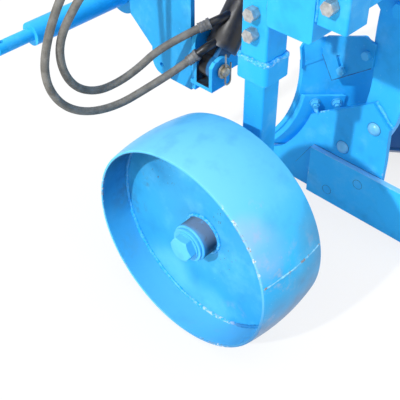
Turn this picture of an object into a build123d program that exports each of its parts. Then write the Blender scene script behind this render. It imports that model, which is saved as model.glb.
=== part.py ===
from build123d import *
import math
import os

# Single-furrow hydraulic reversible plough, in millimetres.
# +Y is the direction of travel, +X is the right-hand side, +Z is up and z = 0 is the ground.
# The origin is on the ground, in the middle of the plough's box seen from above.

# Driving dimensions: frame
AXIS_Z = 700.0            # height of the turnover axis
BEAM = 100.0              # square cross beam
BEAM_WALL = 8.0
BEAM_CORNER = 9.0
SEAT_GAP = 0.2            # air left between pieces that are bolted or welded together
BORE_GAP = 0.02           # radial air round a bolt or a tube in its hole

# Driving dimensions: depth wheel
LEG = 50.0                # square wheel leg
LEG_FIT = 0.4             # air on each side of the leg in its sleeve
SLEEVE_WALL = 6.0
SLEEVE_CORNER = 5.0
SLEEVE_LENGTH = 190.0
COLLAR_WALL = 6.0
COLLAR_HEIGHT = 44.0
COLLAR_DROP = 180.0       # lower end of the sleeve and its collar, below the turnover axis
LEG_X = -165.0
LEG_IN_SLEEVE = 150.0
LEG_BELOW_AXLE = 36.0
RIM_RADIUS = 225.0        # outside of the band at its two edges
CROWN = 8.0               # how much the band bulges in the middle
BAND_WIDTH = 170.0
BAND_WALL = 6.0
WHEEL_OUT = 172.5         # from the leg to the middle of the band
AXLE_BACK = 16.0          # axle behind the leg's centre line
DISC_OUT = 4.5            # middle of the disc, outwards from the middle of the band
DISC_WALL = 8.0
HUB_RADIUS = 41.0
HUB_FRONT = 42.0          # hub length in front of the disc
HUB_BACK = 102.0
AXLE_RADIUS = 20.0
AXLE_FIT = 0.05
SHOULDER_RADIUS = 30.0
END_PLAY = 0.5            # air at the two ends of the hub
WASHER_RADIUS = 37.0
WASHER_WALL = 5.0
NUT_RING_RADIUS = 31.0
NUT_RING_WALL = 3.0
AXLE_NUT = 50.0           # across the flats
AXLE_NUT_HEIGHT = 18.0
NUT_FACE = 23.5           # radius of the nut's flat end
NUT_CAP = 4.0             # closed end of the nut
THREAD_RADIUS = 14.0

# Driving dimensions: three-point hitch, category 2
HITCH_AHEAD = 430.0       # lower link axis ahead of the wheel leg
HITCH_Z = 530.0
HITCH_SPREAD = 825.0
HITCH_BAR_RADIUS = 25.0
LINK_PIN_RADIUS = 14.0
LINK_PIN_LENGTH = 86.5
PIN_SEAT_IN = 24.0        # pin shoulder inside the lower link point
LINCH_HOLE_RADIUS = 6.0
LINCH_HOLE_IN = 14.0
MAST_HEIGHT = 610.0
MAST_BACK = 40.0          # upper link point behind the lower link axis
MAST_GAP = 52.0
MAST_WALL = 14.0
MAST_HOLE_RADIUS = 12.85
MAST_LOBE = 36.0
MAST_FOOT = 200.0         # length of the mast's foot on the top plate
LOBE_RADIUS = 48.0        # cheek round the hitch bar

# Driving dimensions: headstock
CHEEK_OUT = 138.0         # outer face of each cheek plate
CHEEK_WALL = 12.0
CHEEK_BOTTOM = 372.0
CHEEK_RISE = 140.0        # top of the cheeks above the turnover axis
CHEEK_STEP_DROP = 60.0    # step in the rear edge below the turnover axis
CHEEK_REAR = 50.0         # rear edge ahead of the wheel leg
CHEEK_LOW_REAR = 217.0
CHEEK_FRONT = 338.0
CHEEK_CORNER = 30.0
CHEEK_HOLE = (309.0, 397.0)
CHEEK_HOLE_RADIUS = 5.5
TOP_PLATE_WALL = 14.0
REAR_PLATE_WALL = 16.0
REAR_PLATE_DROP = 90.0
CROSS_PLATE_WALL = 12.0
CROSS_PLATE_LOW = 377.0
CROSS_PLATE_HIGH = 520.0

# Driving dimensions: turnover bearing and crank
SHAFT_RADIUS = 35.0
SHAFT_FIT = 0.05
BUSH_WALL = 5.0
BUSH_LENGTH = 40.0
BEARING_WALL = 15.0
BEARING_LENGTH = 128.0
FLANGE_RADIUS = 85.0
FLANGE_WALL = 20.0
FLANGE_PLAY = 2.0
CRANK_RADIUS = 75.0       # turnover axis to crank pin
CRANK_WALL = 23.0
CRANK_HUB = 52.0
CRANK_BOSS = 30.0
CRANK_PLAY = 2.0
STOP_OUT = 92.0           # stop bolts beside the turnover axis
STOP_BOLT_RADIUS = 9.0
STOP_LUG_HALF = 18.0
STOP_LUG_OUT = 114.0
STOP_BLOCK_HALF = 14.0
STOP_BLOCK_HEIGHT = 16.0
STOP_BLOCK_UP = 36.0
STOP_GAP = 0.5
STOP_NUT = 27.0
STOP_HEAD_UP = 14.0

# Driving dimensions: turnover cylinder
BASE_PIN_X = -123.0
BASE_PIN_Z = 448.0
BASE_PIN_RADIUS = 10.0
BRACKET_REAR = 142.0      # rear face of the bracket ahead of the wheel leg
EAR_WALL = 10.0
EAR_GAP = 34.0
EAR_RADIUS = 29.0
EAR_RISE = 25.0           # left shoulder of the ears above the base pin
EAR_CORNER = 10.0
BRACKET_FLOOR = 404.0
BRACKET_FLOOR_WALL = 10.0
BRACKET_HALF = 30.0
RIB_WALL = 6.0
RIB_INSET = 8.0
EYE_RADIUS = 26.0
EYE_PLAY = 1.0
PIN_FIT = 0.05
BARREL_RADIUS = 35.0
BARREL_START = 40.0       # along the cylinder from the base pin
BARREL_END = 150.0
GLAND_END = 168.0
GLAND_RADIUS = 31.0
ROD_RADIUS = 18.0
ROD_FIT = 0.05
ROD_PLAY = 2.0            # rod's tail above the barrel's floor with the cylinder run in
BARREL_FLOOR = 8.0
PORT_AT = (69.0, 134.0)   # along the cylinder from the base pin
PORT_WAYS = ((-0.6, 0.5, -0.62), (-0.75, 0.55, -0.37))
PORT_RADIUS = 9.0
PORT_LENGTH = 27.0        # pipe straight out of the barrel to its elbow
ELBOW_LENGTH = 30.0
ELBOW_RADIUS = 26.0
CRANK_PIN_RADIUS = 14.0
CRANK_PIN_HEAD = 21.0

# Driving dimensions: plough body
BODY_X = 135.0            # furrow-wall face of the landside
LANDSIDE_WALL = 14.0
LANDSIDE_HEIGHT = 140.0
LANDSIDE_FRONT = 70.0
LANDSIDE_LENGTH = 385.0
FROG_WALL = 14.0
SHANK_WALL = 25.0
CARRIER_WALL = 20.0
BODY_WIDTH = 335.0        # landside face to the wing of the mouldboard
FACE_RADIUS = 330.0       # hollow of the mouldboard beside the landside
FACE_CENTRE = (457.0, 330.0)
WING_RADIUS = 400.0       # hollow of the mouldboard at the wing
WING_CENTRE = (178.0, 250.0)
SKIN_LOW = 40.0
SKIN_HIGH = 470.0
MOULD_WALL = 11.0
STAY_WALL = 12.0
TRASH_WALL = 5.0
SHIN_WIDTH = 45.0
SHARE_TOP = 75.0
SHARE_WALL = 12.0
SHARE_SLOPE = 40.0
SHARE_WIDTH = 315.0       # landside face to the share's wing
STAY_LEFT = 3.0           # stay's two edges, from the landside face
STAY_RIGHT = 72.0
STAY_TOP = 273.0
BRACKET_WALL = 8.0

# Driving dimensions: fasteners
FROG_BOLT_RADIUS = 8.0
CUP_RADIUS = 17.0
CUP_HEIGHT = 9.0
FROG_NUT = 24.0
FROG_NUT_HEIGHT = 13.0
LANDSIDE_BOLT_RADIUS = 7.0
LANDSIDE_HEAD = 12.5
LANDSIDE_NUT = 21.0
LANDSIDE_NUT_HEIGHT = 11.0
SMALL_BOLT_RADIUS = 6.0
SMALL_NUT = 19.0
SMALL_NUT_HEIGHT = 10.0
SMALL_WASHER = 13.0
SMALL_WASHER_WALL = 2.5
SHANK_BOLT_RADIUS = 10.0
SHANK_BOLT_DROPS = (72.0, 21.0)    # below the cross beam
SHANK_NUT = 30.0
SHANK_NUT_HEIGHT = 16.0
CLAMP_BOLT_RADIUS = 8.0
CLAMP_DROPS = (78.0, 36.0)         # below the turnover axis
CLAMP_HEAD = 24.0
CLAMP_HEAD_HEIGHT = 10.0

# Driving dimensions: hydraulic hoses
HOSE_RADIUS = 8.5
COUPLING_RADIUS = 15.0
COUPLING_LENGTH = 62.0
COUPLING_Z = 985.0        # lower end of the quick couplings
COUPLING_Y = 275.0        # ahead of the wheel leg
COUPLING_X = (-100.0, -150.0)
HOSE_END = 40.0           # straight run at a port
COUPLING_RUN = 46.0       # straight run below a coupling

# Sizes that follow from the driving dimensions
SLEEVE = LEG + 2 * LEG_FIT + 2 * SLEEVE_WALL
COLLAR = SLEEVE + 2 * COLLAR_WALL
COLLAR_Z = AXIS_Z - COLLAR_DROP
CHEEK_TOP = AXIS_Z + CHEEK_RISE
CHEEK_STEP_Z = AXIS_Z - CHEEK_STEP_DROP
BEAM_UNDER = AXIS_Z - BEAM / 2
WHEEL_RADIUS = RIM_RADIUS + CROWN
AXLE_Z = WHEEL_RADIUS
UPPER_LEG_BACK = SLEEVE + BEAM
REACH_AHEAD = HITCH_AHEAD + LOBE_RADIUS
REACH_BEHIND = UPPER_LEG_BACK + AXLE_BACK + WHEEL_RADIUS
LEG_Y = (REACH_BEHIND - REACH_AHEAD) / 2
AXLE_Y = LEG_Y - AXLE_BACK
WHEEL_X = LEG_X - WHEEL_OUT
DISC_X = WHEEL_X - DISC_OUT
HUB_START = DISC_X - DISC_WALL / 2 - HUB_FRONT
HUB_END = DISC_X + DISC_WALL / 2 + HUB_BACK
BEAM_Y = LEG_Y - SLEEVE / 2 - BEAM / 2
BEAM_FRONT = BEAM_Y + BEAM / 2
BEAM_LEFT = LEG_X - COLLAR / 2
FLANGE_FRONT = BEAM_FRONT + FLANGE_WALL
BEARING_REAR = FLANGE_FRONT + FLANGE_PLAY
BEARING_FRONT = BEARING_REAR + BEARING_LENGTH
BEARING_BORE = SHAFT_RADIUS + SHAFT_FIT + BUSH_WALL
BEARING_RADIUS = BEARING_BORE + BEARING_WALL
CRANK_REAR = BEARING_FRONT + CRANK_PLAY
CRANK_FRONT = CRANK_REAR + CRANK_WALL
EAR_REAR_Y = LEG_Y + BRACKET_REAR
EYE_Y = EAR_REAR_Y + EAR_WALL + EAR_GAP / 2
EYE_WALL = EAR_GAP - 2 * EYE_PLAY
MAST_Y = HITCH_AHEAD - MAST_BACK
MAST_Z = HITCH_Z + MAST_HEIGHT
FROG_X = BODY_X + LANDSIDE_WALL
SHANK_X = FROG_X + FROG_WALL
CARRIER_X = SHANK_X - CARRIER_WALL
SHANK_END_X = SHANK_X + SHANK_WALL
TURN_PLANE = Plane.XY.offset(AXIS_Z)

# Base pin and crank pin seen from behind, measured from the turnover axis
BASE_ANGLE = math.degrees(math.atan2(BASE_PIN_Z - AXIS_Z, BASE_PIN_X))
CRANK_ANGLE = BASE_ANGLE + 90
CRANK_PIN_X = CRANK_RADIUS * math.cos(math.radians(CRANK_ANGLE))
CRANK_PIN_Z = AXIS_Z + CRANK_RADIUS * math.sin(math.radians(CRANK_ANGLE))
ROD_REACH = math.hypot(CRANK_PIN_X - BASE_PIN_X, CRANK_PIN_Z - BASE_PIN_Z)
STROKE = ROD_REACH - math.hypot(BASE_PIN_X, BASE_PIN_Z - AXIS_Z) + CRANK_RADIUS
ROD_ALONG = ((CRANK_PIN_X - BASE_PIN_X) / ROD_REACH, 0, (CRANK_PIN_Z - BASE_PIN_Z) / ROD_REACH)

# Bolt places on the plough body: distance ahead of the wheel leg, height above the ground
FROG_BOLTS = ((-87.0, 265.0), (-12.0, 174.0))
LANDSIDE_BOLTS = ((8.0, 36.0), (-76.0, 101.0))
SHANK_BOLTS = ((-106.0, BEAM_UNDER - SHANK_BOLT_DROPS[0]), (-111.0, BEAM_UNDER - SHANK_BOLT_DROPS[1]))
BRACKET_BOLTS = ((22.0, 373.0), (-36.0, 437.0))
# Nuts on the frog stay: distance from the landside face, height above the ground
STAY_NUTS = ((23.0, 253.0), (58.5, 253.0))
CLAMP_BOLTS = (AXIS_Z - CLAMP_DROPS[0], AXIS_Z - CLAMP_DROPS[1])

os.makedirs("parts", exist_ok=True)


def save(piece, name):
    """Label a finished piece and write it."""
    piece.label = name
    export_step(piece, f"parts/{name}.step")


def save_both(piece, name):
    """Write a piece of the lower plough body and its mirror image on the upper one."""
    save(piece, f"lower_{name}")
    with BuildPart() as mirrored:
        mirror(piece, about=TURN_PLANE)
    save(mirrored.part, f"upper_{name}")


def with_mirror(piece):
    """Solids for the lower plough body together with those of the upper one."""
    with BuildPart() as both:
        add(piece)
        mirror(piece, about=TURN_PLANE)
    return both.part


def side(x):
    """Plane facing right, with distance ahead of the wheel leg across and height up."""
    return Plane(origin=(x, LEG_Y, 0), x_dir=(0, 1, 0), z_dir=(1, 0, 0))


def across(y):
    """Plane facing backwards, with distance to the right across and height up."""
    return Plane(origin=(0, y, 0), x_dir=(1, 0, 0), z_dir=(0, -1, 0))


def hexagon(flats):
    """Radius to the corners of a hexagon given across its flats."""
    return flats / math.sqrt(3)


# Headstock: two cheek plates with a step at the back that leaves room for the cylinder
def cheek_plate(x):
    outline = (
        (CHEEK_LOW_REAR, CHEEK_BOTTOM),
        (CHEEK_FRONT, CHEEK_BOTTOM),
        (CHEEK_FRONT, CHEEK_BOTTOM + 2 * CHEEK_CORNER),
        (HITCH_AHEAD - LOBE_RADIUS / 2, HITCH_Z - LOBE_RADIUS * 0.82),
        (HITCH_AHEAD + LOBE_RADIUS * 0.88, HITCH_Z + LOBE_RADIUS / 2),
        (CHEEK_FRONT, CHEEK_TOP),
        (CHEEK_REAR, CHEEK_TOP),
        (CHEEK_REAR, CHEEK_STEP_Z),
        (CHEEK_LOW_REAR, CHEEK_STEP_Z),
    )
    with BuildPart() as plate:
        with BuildSketch(side(x)) as profile:
            with BuildLine():
                Polyline(*outline, close=True)
            make_face()
            steps = ((CHEEK_REAR, CHEEK_STEP_Z), (CHEEK_LOW_REAR, CHEEK_STEP_Z))
            for y, z in ((CHEEK_FRONT, CHEEK_BOTTOM), *steps):
                fillet(profile.vertices().sort_by_distance((y, z, 0))[0], CHEEK_CORNER)
            with Locations((HITCH_AHEAD, HITCH_Z)):
                Circle(LOBE_RADIUS)
                Circle(HITCH_BAR_RADIUS + BORE_GAP, mode=Mode.SUBTRACT)
            with Locations(CHEEK_HOLE):
                Circle(CHEEK_HOLE_RADIUS, mode=Mode.SUBTRACT)
        extrude(amount=CHEEK_WALL)
    return plate.part


save(cheek_plate(-CHEEK_OUT), "left_cheek_plate")
save(cheek_plate(CHEEK_OUT - CHEEK_WALL), "right_cheek_plate")
CHEEK_INSIDE = CHEEK_OUT - CHEEK_WALL

# Hitch bar: a round bar through both cheeks, turned down to a lower link pin at each end
PIN_SHOULDER = HITCH_SPREAD / 2 - PIN_SEAT_IN
PIN_TIP = PIN_SHOULDER + LINK_PIN_LENGTH
with BuildPart() as hitch_bar:
    with BuildSketch(Plane(origin=(0, LEG_Y + HITCH_AHEAD, HITCH_Z), x_dir=(1, 0, 0), z_dir=(0, -1, 0))):
        with BuildLine():
            Polyline(
                (-PIN_TIP, 0),
                (-PIN_TIP, LINK_PIN_RADIUS),
                (-PIN_SHOULDER, LINK_PIN_RADIUS),
                (-PIN_SHOULDER, HITCH_BAR_RADIUS),
                (PIN_SHOULDER, HITCH_BAR_RADIUS),
                (PIN_SHOULDER, LINK_PIN_RADIUS),
                (PIN_TIP, LINK_PIN_RADIUS),
                (PIN_TIP, 0),
                close=True,
            )
        make_face()
    revolve(axis=Axis((0, LEG_Y + HITCH_AHEAD, HITCH_Z), (1, 0, 0)))
    chamfer(hitch_bar.edges().filter_by(GeomType.CIRCLE).group_by(Axis.X)[0], 3)
    chamfer(hitch_bar.edges().filter_by(GeomType.CIRCLE).group_by(Axis.X)[-1], 3)
    for tip in (-PIN_TIP + LINCH_HOLE_IN, PIN_TIP - LINCH_HOLE_IN):
        with Locations(Location((tip, LEG_Y + HITCH_AHEAD, HITCH_Z))):
            Cylinder(LINCH_HOLE_RADIUS, 4 * LINK_PIN_RADIUS, mode=Mode.SUBTRACT)
save(hitch_bar.part, "hitch_bar")

# Top plate between the cheeks, with the mast standing on it
with BuildPart() as top_plate:
    with BuildSketch(Plane.XY.offset(CHEEK_TOP - TOP_PLATE_WALL)):
        with Locations((0, LEG_Y + (CHEEK_REAR + CHEEK_FRONT) / 2)):
            Rectangle(2 * CHEEK_INSIDE, CHEEK_FRONT - CHEEK_REAR)
    extrude(amount=TOP_PLATE_WALL)
save(top_plate.part, "headstock_top_plate")

MAST_INSIDE = MAST_GAP / 2
SHELF_Z = COUPLING_Z + COUPLING_LENGTH / 2
with BuildPart() as mast:
    for x in (-MAST_INSIDE - MAST_WALL, MAST_INSIDE):
        with BuildSketch(side(x)):
            with BuildLine():
                Polyline(
                    (CHEEK_FRONT - MAST_FOOT, CHEEK_TOP),
                    (CHEEK_FRONT, CHEEK_TOP),
                    (MAST_Y + MAST_LOBE, MAST_Z),
                    (MAST_Y - MAST_LOBE * 0.9, MAST_Z + MAST_LOBE * 0.44),
                    close=True,
                )
            make_face()
            with Locations((MAST_Y, MAST_Z)):
                Circle(MAST_LOBE)
                Circle(MAST_HOLE_RADIUS, mode=Mode.SUBTRACT)
        extrude(amount=MAST_WALL)
    # Web between the two mast plates
    with BuildSketch(across(LEG_Y + CHEEK_FRONT - MAST_FOOT / 2)):
        with Locations((0, (CHEEK_TOP + SHELF_Z) / 2)):
            Rectangle(MAST_GAP, SHELF_Z - CHEEK_TOP)
    extrude(amount=MAST_WALL)
save(mast.part, "mast")

# Shelf on the mast's left plate with the two quick couplings
shelf_end = min(COUPLING_X) - 2 * COUPLING_RADIUS
shelf_start = -MAST_INSIDE - MAST_WALL - SEAT_GAP
with BuildPart() as couplings:
    with BuildSketch(Plane.XY.offset(SHELF_Z)):
        with Locations(((shelf_end + shelf_start) / 2, LEG_Y + COUPLING_Y)):
            Rectangle(shelf_start - shelf_end, 4 * COUPLING_RADIUS)
    extrude(amount=BRACKET_WALL)
    for x in COUPLING_X:
        with BuildSketch(Plane.XY.offset(COUPLING_Z)):
            with Locations((x, LEG_Y + COUPLING_Y)):
                Circle(COUPLING_RADIUS)
        extrude(amount=COUPLING_LENGTH)
        with BuildSketch(Plane.XY.offset(SHELF_Z + BRACKET_WALL)):
            with Locations((x, LEG_Y + COUPLING_Y)):
                RegularPolygon(COUPLING_RADIUS * 1.25, 6)
        extrude(amount=COUPLING_LENGTH / 4)
save(couplings.part, "hose_couplings")

# Rear plate with the bearing hole and the two blocks that hold the stop bolts
REAR_PLATE_Y = LEG_Y + CHEEK_REAR + REAR_PLATE_WALL
STOP_Y = FLANGE_FRONT + STOP_BLOCK_HALF + FLANGE_PLAY
BLOCK_Z = AXIS_Z + STOP_BLOCK_UP
with BuildPart() as rear_plate:
    with BuildSketch(across(REAR_PLATE_Y)):
        plate_low = AXIS_Z - REAR_PLATE_DROP
        plate_high = CHEEK_TOP - TOP_PLATE_WALL
        with Locations((0, (plate_low + plate_high) / 2)):
            Rectangle(2 * CHEEK_INSIDE, plate_high - plate_low)
        with Locations((0, AXIS_Z)):
            Circle(BEARING_RADIUS + BORE_GAP, mode=Mode.SUBTRACT)
    extrude(amount=REAR_PLATE_WALL)
    for x in (-STOP_OUT, STOP_OUT):
        with BuildSketch(Plane.XY.offset(BLOCK_Z)):
            block_rear = STOP_Y - STOP_BLOCK_HALF
            block_front = LEG_Y + CHEEK_REAR
            with Locations((x, (block_rear + block_front) / 2)):
                Rectangle(2 * STOP_BLOCK_HALF, block_front - block_rear)
            with Locations((x, STOP_Y)):
                Circle(STOP_BOLT_RADIUS + BORE_GAP, mode=Mode.SUBTRACT)
        extrude(amount=STOP_BLOCK_HEIGHT)
save(rear_plate.part, "headstock_rear_plate")

with BuildPart() as stop_bolts:
    for x in (-STOP_OUT, STOP_OUT):
        with BuildSketch(Plane.XY.offset(AXIS_Z + STOP_LUG_HALF + STOP_GAP)):
            with Locations((x, STOP_Y)):
                Circle(STOP_BOLT_RADIUS)
        extrude(amount=STOP_BLOCK_UP + STOP_BLOCK_HEIGHT + STOP_HEAD_UP - STOP_LUG_HALF)
        with BuildSketch(Plane.XY.offset(BLOCK_Z + STOP_BLOCK_HEIGHT + SEAT_GAP)):
            with Locations((x, STOP_Y)):
                RegularPolygon(hexagon(STOP_NUT), 6)
        extrude(amount=STOP_BOLT_RADIUS)
save(stop_bolts.part, "stop_bolts")

# Lower cross plate between the cheeks, which carries the cylinder bracket
CROSS_FRONT = LEG_Y + CHEEK_LOW_REAR
CROSS_REAR = CROSS_FRONT - CROSS_PLATE_WALL
with BuildPart() as lower_cross_plate:
    with BuildSketch(across(CROSS_FRONT)):
        with Locations((0, (CROSS_PLATE_LOW + CROSS_PLATE_HIGH) / 2)):
            Rectangle(2 * CHEEK_OUT, CROSS_PLATE_HIGH - CROSS_PLATE_LOW)
    extrude(amount=CROSS_PLATE_WALL)
    fillet(lower_cross_plate.edges().filter_by(Axis.Y).group_by(Axis.Z)[-1], CHEEK_CORNER)
save(lower_cross_plate.part, "lower_cross_plate")

# Turnover bearing: a thick tube through the rear plate with a bush at each end
with BuildPart() as bearing_tube:
    with BuildSketch(across(BEARING_FRONT)):
        with Locations((0, AXIS_Z)):
            Circle(BEARING_RADIUS)
            Circle(BEARING_BORE, mode=Mode.SUBTRACT)
    extrude(amount=BEARING_LENGTH)
    chamfer(bearing_tube.edges().filter_by(GeomType.CIRCLE).sort_by(SortBy.RADIUS)[-2:], 3)
save(bearing_tube.part, "bearing_tube")

with BuildPart() as bushes:
    for front in (BEARING_FRONT, BEARING_REAR + BUSH_LENGTH):
        with BuildSketch(across(front)):
            with Locations((0, AXIS_Z)):
                Circle(BEARING_BORE - BORE_GAP)
                Circle(SHAFT_RADIUS + SHAFT_FIT, mode=Mode.SUBTRACT)
        extrude(amount=BUSH_LENGTH)
save(bushes.part, "bearing_bushes")

# Cylinder bracket: floor, two ears with rounded tops, and two ribs to the cross plate
with BuildPart() as cylinder_bracket:
    with BuildSketch(Plane.XY.offset(BRACKET_FLOOR)):
        with Locations((BASE_PIN_X, (EAR_REAR_Y + CROSS_REAR) / 2)):
            Rectangle(2 * BRACKET_HALF, CROSS_REAR - EAR_REAR_Y)
    extrude(amount=BRACKET_FLOOR_WALL)
    for ear_front in (EAR_REAR_Y + EAR_WALL, EAR_REAR_Y + 2 * EAR_WALL + EAR_GAP):
        with BuildSketch(across(ear_front)):
            with BuildLine():
                Polyline(
                    (BASE_PIN_X - BRACKET_HALF, BRACKET_FLOOR),
                    (BASE_PIN_X + BRACKET_HALF, BRACKET_FLOOR),
                    (BASE_PIN_X + BRACKET_HALF, BASE_PIN_Z - EAR_RADIUS / 2),
                    (BASE_PIN_X + EAR_RADIUS * 0.6, BASE_PIN_Z + EAR_RADIUS * 0.8),
                    (BASE_PIN_X - BRACKET_HALF + EAR_CORNER, BASE_PIN_Z + EAR_RISE),
                    (BASE_PIN_X - BRACKET_HALF, BASE_PIN_Z + EAR_RISE - EAR_CORNER),
                    close=True,
                )
            make_face()
            with Locations((BASE_PIN_X, BASE_PIN_Z)):
                Circle(EAR_RADIUS)
                Circle(BASE_PIN_RADIUS + PIN_FIT, mode=Mode.SUBTRACT)
        extrude(amount=EAR_WALL)
    rib_out = BRACKET_HALF - RIB_INSET - RIB_WALL / 2
    for rib_x in (BASE_PIN_X - rib_out, BASE_PIN_X + rib_out):
        with BuildSketch(across(CROSS_REAR)):
            with Locations((rib_x, (BRACKET_FLOOR + BASE_PIN_Z) / 2)):
                Rectangle(RIB_WALL, BASE_PIN_Z - BRACKET_FLOOR)
        extrude(amount=CROSS_REAR - EAR_REAR_Y - EAR_WALL - EAR_GAP)
save(cylinder_bracket.part, "cylinder_bracket")

BASE_PIN_TAIL = 16.0
BASE_PIN_HEAD_WALL = 5.0
EAR_FRONT_Y = EAR_REAR_Y + 2 * EAR_WALL + EAR_GAP
with BuildPart() as base_pin:
    with BuildSketch(across(EAR_FRONT_Y + SEAT_GAP)):
        with Locations((BASE_PIN_X, BASE_PIN_Z)):
            Circle(BASE_PIN_RADIUS)
    extrude(amount=EAR_FRONT_Y + SEAT_GAP - EAR_REAR_Y + BASE_PIN_TAIL)
    with BuildSketch(across(EAR_FRONT_Y + SEAT_GAP + BASE_PIN_HEAD_WALL)):
        with Locations((BASE_PIN_X, BASE_PIN_Z)):
            Circle(BASE_PIN_RADIUS * 1.4)
    extrude(amount=BASE_PIN_HEAD_WALL)
    chamfer(base_pin.edges().filter_by(GeomType.CIRCLE).group_by(Axis.Y)[0], 2)
    with Locations(Location((BASE_PIN_X, EAR_REAR_Y - BASE_PIN_TAIL / 1.5, BASE_PIN_Z))):
        Cylinder(2.5, 4 * BASE_PIN_RADIUS, mode=Mode.SUBTRACT)
save(base_pin.part, "cylinder_base_pin")

# Washer on the pin's tail, and the spring clip through it with a loop at its lower end
CLIP_WIRE = 2.0
CLIP_UP = 42.0
CLIP_DOWN = 26.0
CLIP_LOOP = 8.0
CLIP_WASHER = 16.0
CLIP_WASHER_WALL = 4.0
CLIP_WASHER_BACK = 4.0    # washer lies against the clip, off the bracket
with BuildPart() as pin_clip:
    with BuildSketch(across(EAR_REAR_Y - CLIP_WASHER_BACK)):
        with Locations((BASE_PIN_X, BASE_PIN_Z)):
            Circle(CLIP_WASHER)
            Circle(BASE_PIN_RADIUS + BORE_GAP, mode=Mode.SUBTRACT)
    extrude(amount=CLIP_WASHER_WALL)
    clip_plane = Plane(
        origin=(BASE_PIN_X, EAR_REAR_Y - BASE_PIN_TAIL / 1.5, BASE_PIN_Z), x_dir=(1, 0, 0), z_dir=(0, -1, 0)
    )
    with BuildLine(clip_plane):
        leg = Line((0, CLIP_UP), (0, -CLIP_DOWN))
        loop = ThreePointArc(leg @ 1, (CLIP_LOOP, -CLIP_DOWN - CLIP_LOOP), (2 * CLIP_LOOP, -CLIP_DOWN))
        Line(loop @ 1, (2 * CLIP_LOOP, CLIP_UP - CLIP_DOWN))
    with BuildSketch(Plane(origin=clip_plane.from_local_coords((0, CLIP_UP, 0)), z_dir=(0, 0, -1))):
        Circle(CLIP_WIRE)
    sweep()
save(pin_clip.part, "base_pin_clip")

# Turnover shaft with its flange and the lug that meets the stop bolts
with BuildPart() as turnover_shaft:
    with BuildSketch(across(FLANGE_FRONT)):
        with Locations((0, AXIS_Z)):
            Circle(FLANGE_RADIUS)
    extrude(amount=FLANGE_WALL)
    with BuildSketch(across(CRANK_FRONT - SEAT_GAP)):
        with Locations((0, AXIS_Z)):
            Circle(SHAFT_RADIUS)
    extrude(amount=CRANK_FRONT - SEAT_GAP - FLANGE_FRONT)
    with BuildSketch(across(STOP_Y + STOP_BLOCK_HALF)):
        with Locations(((FLANGE_RADIUS + STOP_LUG_OUT) / 2, AXIS_Z)):
            Rectangle(STOP_LUG_OUT - FLANGE_RADIUS + FLANGE_WALL, 2 * STOP_LUG_HALF)
    extrude(amount=STOP_Y + STOP_BLOCK_HALF - BEAM_FRONT)
save(turnover_shaft.part, "turnover_shaft")

with BuildPart() as crank_arm:
    with BuildSketch(across(CRANK_FRONT)):
        with Locations((0, AXIS_Z)):
            Circle(CRANK_HUB)
        with Locations((CRANK_PIN_X, CRANK_PIN_Z)):
            Circle(CRANK_BOSS)
        make_hull()
        with Locations((0, AXIS_Z)):
            Circle(SHAFT_RADIUS + BORE_GAP, mode=Mode.SUBTRACT)
        with Locations((CRANK_PIN_X, CRANK_PIN_Z)):
            Circle(CRANK_PIN_RADIUS, mode=Mode.SUBTRACT)
    extrude(amount=CRANK_WALL)
save(crank_arm.part, "crank_arm")

# Cross beam: square tube closed at its left end
with BuildPart() as cross_beam:
    with BuildSketch(Plane.YZ.offset(BEAM_LEFT)):
        with Locations((BEAM_Y, AXIS_Z)):
            RectangleRounded(BEAM, BEAM, BEAM_CORNER)
    extrude(amount=CARRIER_X - SEAT_GAP - BEAM_LEFT)
    with BuildSketch(Plane.YZ.offset(BEAM_LEFT + BEAM_WALL)):
        with Locations((BEAM_Y, AXIS_Z)):
            Rectangle(BEAM - 2 * BEAM_WALL, BEAM - 2 * BEAM_WALL)
    extrude(amount=CARRIER_X - BEAM_LEFT, mode=Mode.SUBTRACT)
save(cross_beam.part, "cross_beam")

# Carrier plate on the beam's right end, which both shanks are bolted to
CARRIER_DOWN = 150.0
CARRIER_REAR = -186.0
CARRIER_FRONT = -24.0
CARRIER_CORNER = 40.0
SHANK_TOP = AXIS_Z - 10.0
with BuildPart() as carrier:
    with BuildSketch(side(CARRIER_X)) as profile:
        with Locations(((CARRIER_REAR + CARRIER_FRONT) / 2, AXIS_Z)):
            Rectangle(CARRIER_FRONT - CARRIER_REAR, 2 * CARRIER_DOWN)
        chamfer(profile.vertices(), CARRIER_CORNER)
        for y, z in SHANK_BOLTS:
            with Locations((y, z), (y, 2 * AXIS_Z - z)):
                Circle(SHANK_BOLT_RADIUS + BORE_GAP, mode=Mode.SUBTRACT)
    extrude(amount=CARRIER_WALL)
save(carrier.part, "shank_carrier")


# Depth wheel sleeve, collar, leg, axle and wheel, standing below the beam
def wheel_sleeve():
    with BuildPart() as sleeve:
        with BuildSketch(Plane.XY.offset(COLLAR_Z)):
            with Locations((LEG_X, LEG_Y)):
                RectangleRounded(SLEEVE, SLEEVE, SLEEVE_CORNER)
                Rectangle(LEG + 2 * LEG_FIT, LEG + 2 * LEG_FIT, mode=Mode.SUBTRACT)
        extrude(amount=SLEEVE_LENGTH)
        for z in CLAMP_BOLTS:
            with BuildSketch(side(LEG_X - SLEEVE)):
                with Locations((0, z)):
                    Circle(CLAMP_BOLT_RADIUS + BORE_GAP)
            extrude(amount=SLEEVE, mode=Mode.SUBTRACT)
    return sleeve.part


def sleeve_collar():
    with BuildPart() as collar:
        with BuildSketch(Plane.XY.offset(COLLAR_Z)):
            with Locations((LEG_X, LEG_Y)):
                RectangleRounded(COLLAR, COLLAR, SLEEVE_CORNER + COLLAR_WALL)
                RectangleRounded(SLEEVE, SLEEVE, SLEEVE_CORNER, mode=Mode.SUBTRACT)
        extrude(amount=COLLAR_HEIGHT)
    return collar.part


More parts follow.
